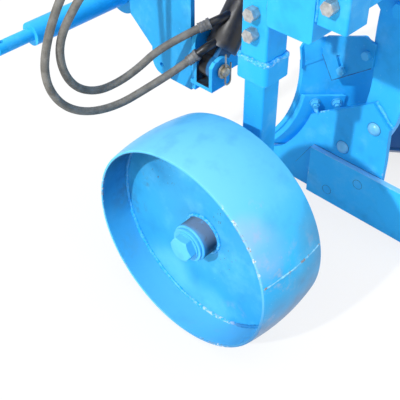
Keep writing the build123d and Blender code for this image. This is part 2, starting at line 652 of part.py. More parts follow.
def clamp_bolts():
    with BuildPart() as bolts:
        tip = LEG_X - LEG / 2 - SEAT_GAP - BORE_GAP
        nut = LEG_X - SLEEVE / 2 - SEAT_GAP - CLAMP_HEAD_HEIGHT
        for z in CLAMP_BOLTS:
            with BuildSketch(side(nut)):
                with Locations((0, z)):
                    Circle(CLAMP_BOLT_RADIUS)
            extrude(amount=tip - nut)
            for start in (nut, nut - CLAMP_HEAD_HEIGHT):
                with BuildSketch(side(start)):
                    with Locations((0, z)):
                        RegularPolygon(hexagon(CLAMP_HEAD), 6)
                extrude(amount=CLAMP_HEAD_HEIGHT)
    return bolts.part


def wheel_leg():
    leg_top = COLLAR_Z + LEG_IN_SLEEVE
    leg_low = AXLE_Z - LEG_BELOW_AXLE
    with BuildPart() as leg:
        with BuildSketch(Plane.XY.offset(leg_low)):
            with Locations((LEG_X, LEG_Y)):
                RectangleRounded(LEG, LEG, SLEEVE_CORNER)
        extrude(amount=leg_top - leg_low)
        with BuildSketch(Plane(origin=(LEG_X, AXLE_Y, AXLE_Z), x_dir=(0, 1, 0), z_dir=(-1, 0, 0))):
            Circle(SHOULDER_RADIUS)
        extrude(amount=LEG_X - HUB_END - END_PLAY)
        with BuildSketch(Plane(origin=(LEG_X, AXLE_Y, AXLE_Z), x_dir=(0, 1, 0), z_dir=(-1, 0, 0))):
            Circle(AXLE_RADIUS)
        extrude(amount=LEG_X - HUB_START + END_PLAY)
        thread_tip = END_PLAY + WASHER_WALL + NUT_RING_WALL + AXLE_NUT_HEIGHT - NUT_CAP - SEAT_GAP
        with BuildSketch(Plane(origin=(LEG_X, AXLE_Y, AXLE_Z), x_dir=(0, 1, 0), z_dir=(-1, 0, 0))):
            Circle(THREAD_RADIUS)
        extrude(amount=LEG_X - HUB_START + thread_tip)
    return leg.part


def axle_nut():
    faces = Plane(origin=(HUB_START - END_PLAY, AXLE_Y, AXLE_Z), x_dir=(0, 1, 0), z_dir=(-1, 0, 0))
    with BuildPart() as nut:
        with BuildSketch(faces):
            Circle(WASHER_RADIUS)
        extrude(amount=WASHER_WALL)
        with BuildSketch(faces.offset(WASHER_WALL)):
            Circle(NUT_RING_RADIUS)
        extrude(amount=NUT_RING_WALL)
        with BuildSketch(faces.offset(WASHER_WALL + NUT_RING_WALL)):
            RegularPolygon(hexagon(AXLE_NUT), 6)
        extrude(amount=AXLE_NUT_HEIGHT)
        with BuildSketch(Plane(origin=faces.origin, x_dir=faces.z_dir, z_dir=(0, 1, 0))):
            with BuildLine():
                corner = hexagon(AXLE_NUT)
                seat = WASHER_WALL + NUT_RING_WALL
                face = seat + AXLE_NUT_HEIGHT
                cone = face - (corner - NUT_FACE) / math.sqrt(3)
                rings = ((0, WASHER_RADIUS), (seat, WASHER_RADIUS), (seat, corner))
                Polyline((0, 0), *rings, (cone, corner), (face, NUT_FACE), (face, 0), close=True)
            make_face()
        revolve(axis=Axis(faces.origin, faces.z_dir), mode=Mode.INTERSECT)
        with BuildSketch(faces):
            Circle(THREAD_RADIUS + BORE_GAP)
        extrude(amount=WASHER_WALL + NUT_RING_WALL + AXLE_NUT_HEIGHT - NUT_CAP, mode=Mode.SUBTRACT)
    return nut.part


def wheel_drum():
    wheel_plane = Plane(origin=(WHEEL_X, AXLE_Y, AXLE_Z), x_dir=(1, 0, 0), z_dir=(0, -1, 0))
    half = BAND_WIDTH / 2
    with BuildPart() as drum:
        with BuildSketch(wheel_plane):
            with BuildLine():
                outside = ThreePointArc((-half, RIM_RADIUS), (0, WHEEL_RADIUS), (half, RIM_RADIUS))
                inside = ThreePointArc(
                    (-half, RIM_RADIUS - BAND_WALL),
                    (0, WHEEL_RADIUS - BAND_WALL),
                    (half, RIM_RADIUS - BAND_WALL),
                )
                Line(outside @ 0, inside @ 0)
                Line(outside @ 1, inside @ 1)
            make_face()
        revolve(axis=Axis(wheel_plane.origin, (1, 0, 0)))
    return drum.part


def wheel_disc():
    bulge = CROWN * (1 - ((abs(DISC_OUT) + DISC_WALL / 2) / (BAND_WIDTH / 2)) ** 2)
    disc_radius = RIM_RADIUS + bulge - BAND_WALL - SEAT_GAP
    with BuildPart() as disc:
        disc_face = (DISC_X - DISC_WALL / 2, AXLE_Y, AXLE_Z)
        with BuildSketch(Plane(origin=disc_face, x_dir=(0, 1, 0), z_dir=(1, 0, 0))):
            Circle(disc_radius)
            Circle(HUB_RADIUS + BORE_GAP, mode=Mode.SUBTRACT)
        extrude(amount=DISC_WALL)
    return disc.part


def wheel_hub():
    with BuildPart() as hub:
        with BuildSketch(Plane(origin=(HUB_START, AXLE_Y, AXLE_Z), x_dir=(0, 1, 0), z_dir=(1, 0, 0))):
            Circle(HUB_RADIUS)
            Circle(AXLE_RADIUS + AXLE_FIT, mode=Mode.SUBTRACT)
        extrude(amount=HUB_END - HUB_START)
        chamfer(hub.edges().filter_by(GeomType.CIRCLE).sort_by(SortBy.RADIUS)[-2:], 2)
    return hub.part


# The upper wheel's sleeve is on the other side of the beam, so both legs can slide right through
wheel_pieces = {
    "wheel_sleeve": wheel_sleeve(),
    "sleeve_collar": sleeve_collar(),
    "wheel_leg": wheel_leg(),
    "wheel_drum": wheel_drum(),
    "wheel_disc": wheel_disc(),
    "wheel_hub": wheel_hub(),
    "axle_nut": axle_nut(),
}
for name, piece in wheel_pieces.items():
    save(piece, f"lower_{name}")
    with BuildPart() as upper:
        with Locations((0, -UPPER_LEG_BACK, 0)):
            add(mirror(piece, about=TURN_PLANE, mode=Mode.PRIVATE))
    save(upper.part, f"upper_{name}")


lower_clamps = clamp_bolts()
with BuildPart() as clamps:
    add(lower_clamps)
    with Locations((0, -UPPER_LEG_BACK, 0)):
        add(mirror(lower_clamps, about=TURN_PLANE, mode=Mode.PRIVATE))
save(clamps.part, "clamp_bolts")


# Turnover cylinder, along the line from the base pin to the crank pin
def along(distance):
    """Plane square to the cylinder at a distance from the base pin."""
    start = (
        BASE_PIN_X + ROD_ALONG[0] * distance,
        EYE_Y,
        BASE_PIN_Z + ROD_ALONG[2] * distance,
    )
    return Plane(origin=start, x_dir=(0, 1, 0), z_dir=ROD_ALONG)


def eye_plane(x, z, y=EYE_Y + EYE_WALL / 2):
    """Plane facing backwards through the front face of an eye."""
    return Plane(origin=(x, y, z), x_dir=(1, 0, 0), z_dir=(0, -1, 0))


def port_route(distance, way):
    """Pipe out of the barrel to the left, then round an elbow towards the hose."""
    start = along(distance).origin
    corner = start - Vector(BARREL_RADIUS + PORT_LENGTH, 0, 0)
    return start, corner, corner + Vector(*way).normalized() * ELBOW_LENGTH


with BuildPart() as barrel:
    with BuildSketch(eye_plane(BASE_PIN_X, BASE_PIN_Z)):
        Circle(EYE_RADIUS)
    extrude(amount=EYE_WALL)
    with BuildSketch(along(0)):
        Rectangle(EYE_WALL, EYE_RADIUS * 1.5)
    extrude(amount=BARREL_START)
    with BuildSketch(eye_plane(BASE_PIN_X, BASE_PIN_Z)):
        Circle(BASE_PIN_RADIUS + PIN_FIT)
    extrude(amount=EYE_WALL, mode=Mode.SUBTRACT)
    with BuildSketch(along(BARREL_START)):
        Circle(BARREL_RADIUS)
    extrude(amount=BARREL_END - BARREL_START)
    for distance, way in zip(PORT_AT, PORT_WAYS):
        route = port_route(distance, way)
        with BuildLine():
            FilletPolyline(*route, radius=ELBOW_RADIUS)
        with BuildSketch(Plane(origin=route[0], z_dir=route[1] - route[0])):
            Circle(PORT_RADIUS)
        sweep()
    with BuildSketch(along(BARREL_START + BARREL_FLOOR)):
        Circle(ROD_RADIUS + ROD_FIT)
    extrude(amount=BARREL_END - BARREL_START - BARREL_FLOOR, mode=Mode.SUBTRACT)
save(barrel.part, "cylinder_barrel")

with BuildPart() as gland:
    with BuildSketch(along(BARREL_END)):
        Circle(GLAND_RADIUS)
        Circle(ROD_RADIUS + ROD_FIT, mode=Mode.SUBTRACT)
    extrude(amount=GLAND_END - BARREL_END)
    chamfer(gland.edges().filter_by(GeomType.CIRCLE).sort_by(SortBy.RADIUS)[-2:], 2)
save(gland.part, "cylinder_gland")

with BuildPart() as rod:
    rod_tail = BARREL_START + BARREL_FLOOR + STROKE + ROD_PLAY
    with BuildSketch(along(rod_tail)):
        Circle(ROD_RADIUS)
    extrude(amount=ROD_REACH - rod_tail)
    with BuildSketch(eye_plane(CRANK_PIN_X, CRANK_PIN_Z)):
        Circle(EYE_RADIUS)
    extrude(amount=EYE_WALL)
    # The pin stays in the rod's eye and stops just short of the crank arm
    with BuildSketch(eye_plane(CRANK_PIN_X, CRANK_PIN_Z)):
        Circle(CRANK_PIN_RADIUS)
    extrude(amount=EYE_Y + EYE_WALL / 2 - CRANK_FRONT - END_PLAY)
    with BuildSketch(eye_plane(CRANK_PIN_X, CRANK_PIN_Z, EYE_Y + EYE_WALL / 2 + BASE_PIN_HEAD_WALL)):
        Circle(CRANK_PIN_HEAD)
    extrude(amount=BASE_PIN_HEAD_WALL)
save(rod.part, "piston_rod")


# Mouldboard surface: a hollow plate ruled from an arc at the landside to a flatter arc at the wing
def arc_point(centre, radius, z):
    """Point of an arc at a height, on its rear side."""
    return (centre[0] - math.sqrt(radius ** 2 - (centre[1] - z) ** 2), z)


def plate_y(depth, x, z):
    """Distance ahead of the wheel leg, at a depth behind the working face, right of the landside face."""
    face = arc_point(FACE_CENTRE, FACE_RADIUS + depth, z)[0]
    wing = arc_point(WING_CENTRE, WING_RADIUS + depth, z)[0]
    return face + (wing - face) * x / BODY_WIDTH


def strip(centre, radius, wall, z_low, z_high):
    """Band between an arc and a larger one behind it, from one height to another."""
    middle = (z_low + z_high) / 2
    face = ThreePointArc(*[arc_point(centre, radius, z) for z in (z_low, middle, z_high)])
    back = ThreePointArc(*[arc_point(centre, radius + wall, z) for z in (z_low, middle, z_high)])
    Line(face @ 0, back @ 0)
    Line(face @ 1, back @ 1)


def skin(depth, wall, outline, left=0):
    """Piece of the hollow plate behind its working face, cut to an outline seen from behind.

    It can run on straight to the left of the landside face.
    """
    with BuildPart() as plate:
        with BuildSketch(side(BODY_X)):
            with BuildLine():
                strip(FACE_CENTRE, FACE_RADIUS + depth, wall, SKIN_LOW, SKIN_HIGH)
            make_face()
        with BuildSketch(side(BODY_X + BODY_WIDTH)):
            with BuildLine():
                strip(WING_CENTRE, WING_RADIUS + depth, wall, SKIN_LOW, SKIN_HIGH)
            make_face()
        loft(ruled=True)
        if left:
            with BuildSketch(side(BODY_X - left)):
                with BuildLine():
                    strip(FACE_CENTRE, FACE_RADIUS + depth, wall, SKIN_LOW, SKIN_HIGH)
                make_face()
            extrude(amount=left)
        with BuildSketch(across(LEG_Y + FACE_CENTRE[0])):
            with Locations((BODY_X, 0)):
                add(outline)
        extrude(amount=2 * FACE_CENTRE[0], mode=Mode.INTERSECT)
    return plate.part


SEAM_Z = SHARE_TOP + SEAT_GAP
SHIN_TOP = 365.0
SHIN_TOP_RISE = 24.0
WING_TOP = 372.0
WING_TIP = 300.0
with BuildSketch() as shin_outline:
    with BuildLine():
        Polyline(
            (0, SEAM_Z),
            (SHIN_WIDTH - SEAT_GAP, SEAM_Z),
            (SHIN_WIDTH - SEAT_GAP, SHIN_TOP + SHIN_TOP_RISE),
            (0, SHIN_TOP),
            close=True,
        )
    make_face()

with BuildSketch() as mouldboard_outline:
    with BuildLine():
        left = Line((SHIN_WIDTH, SEAM_Z), (SHIN_WIDTH, SHIN_TOP + SHIN_TOP_RISE))
        crest = (BODY_WIDTH * 0.55, WING_TOP + SHIN_TOP_RISE)
        top = ThreePointArc(left @ 1, crest, (BODY_WIDTH * 0.9, WING_TOP))
        tip = ThreePointArc(top @ 1, (BODY_WIDTH * 0.985, (WING_TOP + WING_TIP) / 2), (BODY_WIDTH, WING_TIP))
        Polyline(tip @ 1, (BODY_WIDTH * 0.92, SEAM_Z), left @ 0)
    make_face()

STAY_LOW = 84.0
with BuildSketch() as stay_outline:
    with BuildLine():
        Polyline(
            (STAY_LEFT, STAY_LOW),
            (STAY_RIGHT, STAY_LOW),
            (STAY_RIGHT, STAY_TOP),
            (STAY_LEFT, STAY_TOP),
            close=True,
        )
    make_face()

TRASH_LAP = 8.5           # how far the trash board reaches down behind the shin
TRASH_LEFT = 11.0         # left of the landside face
TRASH_CORNER = 25.0
TRASH_SIDE = 405.0
TRASH_TOP = 425.0
TRASH_WIDTH = 120.0
TRASH_TIP = 12.0
trash_slope = SHIN_TOP_RISE / SHIN_WIDTH
with BuildSketch() as trash_outline:
    with BuildLine():
        Polyline(
            (-TRASH_LEFT, SHIN_TOP - TRASH_LAP - trash_slope * TRASH_LEFT),
            (SHIN_WIDTH, SHIN_TOP - TRASH_LAP + SHIN_TOP_RISE),
            (TRASH_WIDTH, TRASH_TOP - 2 * TRASH_TIP),
            (TRASH_WIDTH - TRASH_TIP, TRASH_TOP),
            (TRASH_CORNER, TRASH_TOP),
            (-TRASH_LEFT, TRASH_SIDE),
            close=True,
        )
    make_face()

STAY_DEPTH = MOULD_WALL + SEAT_GAP
save_both(skin(0, MOULD_WALL, shin_outline.sketch), "shin")
save_both(skin(0, MOULD_WALL, mouldboard_outline.sketch), "mouldboard")
save_both(skin(STAY_DEPTH, STAY_WALL, stay_outline.sketch), "frog_stay")

# Trash board: a strip behind the top of the mouldboard with an ear that the slotted bracket holds
EAR_X = SHANK_X
EAR_LOW = 352.0
EAR_FRONT_LOW = 378.0
EAR_HIGH = 402.0
EAR_BACK = 6.0
EAR_KNEE = 30.0
EAR_BACK_LOW = 370.0
ear_inside = EAR_X + BRACKET_WALL - BODY_X
TRASH_EAR = (
    (plate_y(STAY_DEPTH, ear_inside, EAR_FRONT_LOW) - SEAT_GAP, EAR_FRONT_LOW),
    (plate_y(STAY_DEPTH, ear_inside, EAR_HIGH) - SEAT_GAP, EAR_HIGH),
    (EAR_BACK, EAR_HIGH - BRACKET_WALL),
    (EAR_BACK, EAR_BACK_LOW),
    (EAR_KNEE, EAR_LOW),
)
with BuildPart() as trash_board:
    add(skin(STAY_DEPTH, TRASH_WALL, trash_outline.sketch, TRASH_LEFT))
    with BuildSketch(side(EAR_X)):
        with BuildLine():
            Polyline(*TRASH_EAR, close=True)
        make_face()
        with Locations(BRACKET_BOLTS[0]):
            Circle(SMALL_BOLT_RADIUS + BORE_GAP, mode=Mode.SUBTRACT)
    extrude(amount=BRACKET_WALL)
save_both(trash_board.part, "trash_board")

# Slotted bracket from the shank's lug to the trash board
BRACKET_X = SHANK_X - BRACKET_WALL - SEAT_GAP
BRACKET_OUTLINE = (
    (47.0, 335.0), (82.0, 392.0), (74.0, 440.0), (-20.0, 475.0), (-54.0, 468.0), (-54.0, 411.0)
)
SLOT_END = (36.0, 400.0)
slot_run = (SLOT_END[0] - BRACKET_BOLTS[0][0], SLOT_END[1] - BRACKET_BOLTS[0][1])
slot_middle = ((SLOT_END[0] + BRACKET_BOLTS[0][0]) / 2, (SLOT_END[1] + BRACKET_BOLTS[0][1]) / 2)
slot_angle = math.degrees(math.atan2(slot_run[1], slot_run[0]))
SLOT_HALF = SMALL_BOLT_RADIUS + 0.5
with BuildPart() as trash_bracket:
    with BuildSketch(side(BRACKET_X)):
        with BuildLine():
            Polyline(*BRACKET_OUTLINE, close=True)
        make_face()
        with Locations(Location((*slot_middle, 0), slot_angle)):
            SlotCenterToCenter(math.hypot(*slot_run), 2 * SLOT_HALF, mode=Mode.SUBTRACT)
        with Locations(BRACKET_BOLTS[1]):
            Circle(SMALL_BOLT_RADIUS + BORE_GAP, mode=Mode.SUBTRACT)
    extrude(amount=BRACKET_WALL)
save_both(trash_bracket.part, "trash_bracket")

# Share: a flat blade below the mouldboard, ground off level with the furrow bottom
seam_start = arc_point(FACE_CENTRE, FACE_RADIUS, SHARE_TOP)
seam_end = arc_point(WING_CENTRE, WING_RADIUS, SHARE_TOP)
seam_vector = Vector(BODY_WIDTH, seam_end[0] - seam_start[0], 0)
seam_length = seam_vector.length
seam_way = seam_vector.normalized()
ahead_way = Vector(-seam_way.Y, seam_way.X, 0)
slope = math.radians(SHARE_SLOPE)
share_normal = ahead_way * math.sin(slope) + Vector(0, 0, math.cos(slope))
share_plane = Plane(origin=(BODY_X, LEG_Y + seam_start[0], SHARE_TOP), x_dir=seam_way, z_dir=share_normal)
share_run = SHARE_TOP / math.sin(slope)
with BuildPart() as share:
    with BuildSketch(share_plane):
        with BuildLine():
            Polyline(
                (-2 * share_run, 0),
                (seam_length, 0),
                (seam_length, 1.2 * share_run),
                (-2 * share_run, 1.2 * share_run),
                close=True,
            )
        make_face()
    extrude(amount=-SHARE_WALL)
    split(bisect_by=Plane.XY, keep=Keep.TOP)
    split(bisect_by=Plane.YZ.offset(BODY_X), keep=Keep.TOP)
    split(bisect_by=Plane.YZ.offset(BODY_X + SHARE_WIDTH), keep=Keep.BOTTOM)
save_both(share.part, "share")

# Landside: a flat bar with two flush bolts
with BuildPart() as landside:
    with BuildSketch(side(BODY_X)) as profile:
        with Locations((LANDSIDE_FRONT - LANDSIDE_LENGTH / 2, LANDSIDE_HEIGHT / 2)):
            Rectangle(LANDSIDE_LENGTH, LANDSIDE_HEIGHT)
        chamfer(profile.vertices().group_by(Axis.Y)[0].sort_by(Axis.Z)[-1], LANDSIDE_HEIGHT / 4)
    extrude(amount=LANDSIDE_WALL)
    with Locations(*[Location((BODY_X, LEG_Y + y, z), (0, -90, 0)) for y, z in LANDSIDE_BOLTS]):
        CounterSinkHole(LANDSIDE_BOLT_RADIUS + BORE_GAP, LANDSIDE_HEAD + BORE_GAP, depth=LANDSIDE_WALL)
save_both(landside.part, "landside")

# Frog: the side plate that joins landside, stay and shank
FROG_FOOT = 4.0
FROG_TOP = ((66.0, 237.0), (-73.0, 329.0), (-125.0, 278.0), (-130.0, 187.0), (-129.0, FROG_FOOT))
FROG_DEPTH = MOULD_WALL + STAY_WALL + 3 * SEAT_GAP
FROG_CORNER = 222.0
FROG_INSIDE = LANDSIDE_WALL + FROG_WALL
FROG_KNEE = 56.0


def stay_back(z):
    """Frog's edge along the back of the stay."""
    return plate_y(FROG_DEPTH, FROG_INSIDE, z)


def share_back(z):
    """Underside of the share beside the frog's right face."""
    seam_y = seam_start[0] + (seam_end[0] - seam_start[0]) * FROG_INSIDE / BODY_WIDTH
    ahead = (SHARE_TOP - z) / math.tan(slope) - (SHARE_WALL + SEAT_GAP) / math.sin(slope)
    return seam_y + ahead / ahead_way.Y


with BuildPart() as frog:
    with BuildSketch(side(FROG_X)):
        with BuildLine():
            heights = (STAY_LOW, (STAY_LOW + FROG_CORNER) / 2, FROG_CORNER)
            front = ThreePointArc(*[(stay_back(z), z) for z in heights])
            knee = (share_back(FROG_KNEE) - SHARE_WALL / 2, FROG_KNEE)
            Polyline(front @ 1, *FROG_TOP, (share_back(FROG_FOOT) - 1, FROG_FOOT), knee, front @ 0)
        make_face()
        with Locations(*FROG_BOLTS):
            Circle(FROG_BOLT_RADIUS + BORE_GAP, mode=Mode.SUBTRACT)
        with Locations(*LANDSIDE_BOLTS):
            Circle(LANDSIDE_BOLT_RADIUS + BORE_GAP, mode=Mode.SUBTRACT)
    extrude(amount=FROG_WALL - SEAT_GAP)
save_both(frog.part, "frog")

# Shank: a curved plate from the carrier to the frog, with a lug for the trash bracket
SHANK_TOP_FRONT = -62.0
SHANK_TOP_REAR = -168.0
SHANK_NECK = ((-45.0, 560.0), (-43.5, 462.0))
SHANK_THROAT = ((-53.0, 371.0), (-46.0, 310.0))
SHANK_FRONT = ((-20.0, 244.0), (30.0, 190.0))
SHANK_TOE = ((12.0, 138.0), (-40.0, 142.0))
SHANK_REAR = ((-101.0, 215.0), (-134.0, 312.0))
LUG = ((-70.0, 416.0), (-18.0, 416.0), (-18.0, 458.0), (-70.0, 458.0))
with BuildPart() as shank:
    with BuildSketch(side(SHANK_X)):
        with BuildLine():
            neck = ThreePointArc((SHANK_TOP_FRONT, SHANK_TOP), *SHANK_NECK)
            throat = ThreePointArc(neck @ 1, *SHANK_THROAT)
            front = ThreePointArc(throat @ 1, *SHANK_FRONT)
            toe = ThreePointArc(front @ 1, *SHANK_TOE)
            rear = ThreePointArc(toe @ 1, *SHANK_REAR)
            Polyline(rear @ 1, (SHANK_TOP_REAR, SHANK_TOP), neck @ 0)
        make_face()
        with Locations(*FROG_BOLTS):
            Circle(FROG_BOLT_RADIUS + BORE_GAP, mode=Mode.SUBTRACT)
        with Locations(*SHANK_BOLTS):
            Circle(SHANK_BOLT_RADIUS + BORE_GAP, mode=Mode.SUBTRACT)
    extrude(amount=SHANK_WALL)
    with BuildSketch(side(SHANK_X)):
        with BuildLine():
            Polyline(*LUG, close=True)
        make_face()
        with Locations(BRACKET_BOLTS[1]):
            Circle(SMALL_BOLT_RADIUS + BORE_GAP, mode=Mode.SUBTRACT)
    extrude(amount=BRACKET_WALL)
save_both(shank.part, "shank")


# Fasteners of the plough bodies
with BuildPart() as frog_bolts:
    for y, z in FROG_BOLTS:
        head = (FROG_X - SEAT_GAP, LEG_Y + y, z)
        nut_start = FROG_WALL + SHANK_WALL + 2 * SEAT_GAP
        bolt_end = nut_start + FROG_NUT_HEIGHT + SMALL_BOLT_RADIUS
        with BuildSketch(Plane(origin=head, x_dir=(1, 0, 0), z_dir=(0, -1, 0))):
            with BuildLine():
                shoulder = (-CUP_HEIGHT * 0.72, CUP_RADIUS * 0.72)
                dome = ThreePointArc((-CUP_HEIGHT, 0), shoulder, (0, CUP_RADIUS))
                thread = ((0, FROG_BOLT_RADIUS), (bolt_end, FROG_BOLT_RADIUS), (bolt_end, 0))
                Polyline(dome @ 1, *thread, dome @ 0)
            make_face()
        revolve(axis=Axis(head, (1, 0, 0)))
        with BuildSketch(Plane(origin=head, x_dir=(0, 1, 0), z_dir=(1, 0, 0)).offset(nut_start)):
            RegularPolygon(hexagon(FROG_NUT), 6)
        extrude(amount=FROG_NUT_HEIGHT)
save(with_mirror(frog_bolts.part), "frog_bolts")

with BuildPart() as landside_bolts:
    for y, z in LANDSIDE_BOLTS:
        bolt_plane = Plane(origin=(BODY_X, LEG_Y + y, z), x_dir=(0, 1, 0), z_dir=(1, 0, 0))
        cone_depth = LANDSIDE_HEAD - LANDSIDE_BOLT_RADIUS
        with BuildSketch(bolt_plane):
            Circle(LANDSIDE_HEAD)
        with BuildSketch(bolt_plane.offset(cone_depth)):
            Circle(LANDSIDE_BOLT_RADIUS)
        loft()
        nut_start = LANDSIDE_WALL + FROG_WALL + SEAT_GAP
        with BuildSketch(bolt_plane.offset(cone_depth)):
            Circle(LANDSIDE_BOLT_RADIUS)
        extrude(amount=nut_start + LANDSIDE_NUT_HEIGHT + LANDSIDE_BOLT_RADIUS - cone_depth)
        with BuildSketch(bolt_plane.offset(nut_start)):
            RegularPolygon(hexagon(LANDSIDE_NUT), 6)
        extrude(amount=LANDSIDE_NUT_HEIGHT)
save(with_mirror(landside_bolts.part), "landside_bolts")

with BuildPart() as shank_bolts:
    for y, z in SHANK_BOLTS:
        bolt_plane = Plane(origin=(CARRIER_X - SEAT_GAP, LEG_Y + y, z), x_dir=(0, 1, 0), z_dir=(1, 0, 0))
        nut_start = CARRIER_WALL + SHANK_WALL + 2 * SEAT_GAP
        with BuildSketch(bolt_plane.offset(-SHANK_NUT_HEIGHT)):
            RegularPolygon(hexagon(SHANK_NUT), 6)
        extrude(amount=SHANK_NUT_HEIGHT)
        with BuildSketch(bolt_plane):
            Circle(SHANK_BOLT_RADIUS)
        extrude(amount=nut_start + SHANK_NUT_HEIGHT + SHANK_BOLT_RADIUS)
        with BuildSketch(bolt_plane.offset(nut_start)):
            RegularPolygon(hexagon(SHANK_NUT), 6)
        extrude(amount=SHANK_NUT_HEIGHT)
save(with_mirror(shank_bolts.part), "shank_bolts")

with BuildPart() as body_nuts:
    for y, z in BRACKET_BOLTS:
        bolt_plane = Plane(origin=(BRACKET_X - SEAT_GAP, LEG_Y + y, z), x_dir=(0, 1, 0), z_dir=(1, 0, 0))
        with BuildSketch(bolt_plane.offset(-SMALL_NUT_HEIGHT)):
            RegularPolygon(hexagon(SMALL_NUT), 6)
        extrude(amount=SMALL_NUT_HEIGHT)
        nut_start = 2 * BRACKET_WALL + 3 * SEAT_GAP
        with BuildSketch(bolt_plane):
            Circle(SMALL_BOLT_RADIUS)
        extrude(amount=nut_start + SMALL_NUT_HEIGHT + SMALL_BOLT_RADIUS)
        with BuildSketch(bolt_plane.offset(nut_start)):
            RegularPolygon(hexagon(SMALL_NUT), 6)
        extrude(amount=SMALL_NUT_HEIGHT)
    # Nuts on the back of the frog stay, square to its surface
    for x, z in STAY_NUTS:
        depth = STAY_DEPTH + STAY_WALL + 2 * SEAT_GAP
        seat_y = plate_y(depth, x, z)
        twist = plate_y(depth, x + 1, z) - seat_y
        rise = plate_y(depth, x, z + 1) - seat_y
        seat = (BODY_X + x, LEG_Y + seat_y, z)
        outward = Vector(twist, -1, rise).normalized()
        nut_plane = Plane(origin=seat, z_dir=outward)
        with BuildSketch(nut_plane):
            Circle(SMALL_WASHER)
        extrude(amount=SMALL_WASHER_WALL)
        with BuildSketch(nut_plane):
            RegularPolygon(hexagon(SMALL_NUT), 6)
        extrude(amount=SMALL_WASHER_WALL + SMALL_NUT_HEIGHT)
        with BuildSketch(nut_plane):
            Circle(SMALL_BOLT_RADIUS)
        extrude(amount=SMALL_WASHER_WALL + SMALL_NUT_HEIGHT + SMALL_BOLT_RADIUS)
save(with_mirror(body_nuts.part), "body_nuts")


# Hydraulic hoses: from the two ports, looping forward and left, up to the quick couplings.
# The points are distance from the turnover axis, distance ahead of the wheel leg, and height.
def from_port(distance, way):
    """Straight run out of an elbow."""
    mouth = port_route(distance, way)[2] + Vector(*way).normalized() * SEAT_GAP - Vector(0, LEG_Y, 0)
    return tuple(mouth), tuple(mouth + Vector(*way).normalized() * HOSE_END)


def to_coupling(x):
    """Straight run up into a quick coupling."""
    return ((x, COUPLING_Y, COUPLING_Z - SEAT_GAP - COUPLING_RUN), (x, COUPLING_Y, COUPLING_Z - SEAT_GAP))


LOWER_HOSE = (
    (-236.0, 243.0, 416.0),
    (-306.0, 272.0, 387.0),
    (-384.0, 285.0, 402.0),
    (-438.0, 293.0, 448.0),
    (-459.0, 300.0, 514.0),
    (-438.0, 306.0, 582.0),
    (-385.0, 312.0, 660.0),
    (-300.0, 316.0, 735.0),
    (-222.0, 308.0, 812.0),
    (-172.0, 290.0, 880.0),
)
UPPER_HOSE = (
    (-208.0, 250.0, 486.0),
    (-234.0, 274.0, 450.0),
    (-276.0, 291.0, 426.0),
    (-334.0, 299.0, 424.0),
    (-388.0, 300.0, 458.0),
    (-416.0, 300.0, 516.0),
    (-414.0, 298.0, 580.0),
    (-370.0, 291.0, 642.0),
    (-296.0, 286.0, 706.0),
    (-222.0, 279.0, 764.0),
    (-168.0, 278.0, 840.0),
    (-120.0, 275.0, 896.0),
)


def hose(points):
    places = [Vector(x, LEG_Y + y, z) for x, y, z in points]
    radii = []
    for before, here, after in zip(places, places[1:], places[2:]):
        turn = math.radians((here - before).get_angle(after - here))
        shorter = min((here - before).length, (after - here).length)
        radii.append(0.45 * shorter / math.tan(turn / 2))
    print("hose radii", [round(radius) for radius in radii])
    with BuildPart() as tube:
        with BuildLine() as route:
            FilletPolyline(*places, radius=radii)
        with BuildSketch(Plane(origin=places[0], z_dir=places[1] - places[0])):
            Circle(HOSE_RADIUS)
        sweep()
    print("hose length", round(route.wire().length))
    return tube.part


save(hose((*from_port(PORT_AT[0], PORT_WAYS[0]), *LOWER_HOSE, *to_coupling(COUPLING_X[1]))), "lower_hose")
save(hose((*from_port(PORT_AT[1], PORT_WAYS[1]), *UPPER_HOSE, *to_coupling(COUPLING_X[0]))), "upper_hose")
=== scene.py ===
"""Dress the CAD model of a reversible plough: paint with wear and with painted light and shade, welds, dark
joint and shadow lines, hoses, camera, light and floor.
"""
import math

import bpy
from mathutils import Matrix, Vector, noise


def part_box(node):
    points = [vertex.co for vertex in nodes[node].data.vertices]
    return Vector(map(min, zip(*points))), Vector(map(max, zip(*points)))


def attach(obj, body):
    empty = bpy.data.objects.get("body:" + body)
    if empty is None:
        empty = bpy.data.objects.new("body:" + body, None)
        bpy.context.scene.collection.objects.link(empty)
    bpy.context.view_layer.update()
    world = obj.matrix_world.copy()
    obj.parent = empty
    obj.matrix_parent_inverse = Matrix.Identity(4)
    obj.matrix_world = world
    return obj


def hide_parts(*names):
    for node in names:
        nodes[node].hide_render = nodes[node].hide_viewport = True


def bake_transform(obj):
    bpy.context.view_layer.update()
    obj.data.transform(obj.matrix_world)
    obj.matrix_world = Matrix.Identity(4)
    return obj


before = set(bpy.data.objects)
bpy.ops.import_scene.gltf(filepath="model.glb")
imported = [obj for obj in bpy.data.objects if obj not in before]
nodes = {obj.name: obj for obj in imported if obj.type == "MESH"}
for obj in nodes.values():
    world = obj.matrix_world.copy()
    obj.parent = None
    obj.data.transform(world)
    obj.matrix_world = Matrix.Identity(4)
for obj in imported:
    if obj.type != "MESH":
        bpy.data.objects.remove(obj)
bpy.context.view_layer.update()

# Places of the CAD model, in millimetres: X from the turnover axis, Y ahead of the wheel leg, Z up
LEG_Y = -33.1               # wheel leg in the row frame
AXIS_Z = 700.0              # turnover axis
LEG_X = -165.0
SLEEVE = 62.8               # square sleeve, across
SLEEVE_LEFT = LEG_X - SLEEVE / 2
SLEEVE_RIGHT = LEG_X + SLEEVE / 2
UPPER_LEG_BACK = 162.8      # upper leg, behind the lower one
COLLAR_TOP = 564.0
BEAM = 100.0                # square cross beam
BEAM_FRONT = -SLEEVE / 2
BEAM_BACK = BEAM_FRONT - BEAM
BEAM_LOW = AXIS_Z - BEAM / 2
BEAM_HIGH = AXIS_Z + BEAM / 2
CARRIER_X = 142.6           # where the beam meets the shank carrier
WHEEL_X = -337.5            # middle of both wheels
BAND_HALF = 85.0            # half a wheel band's width
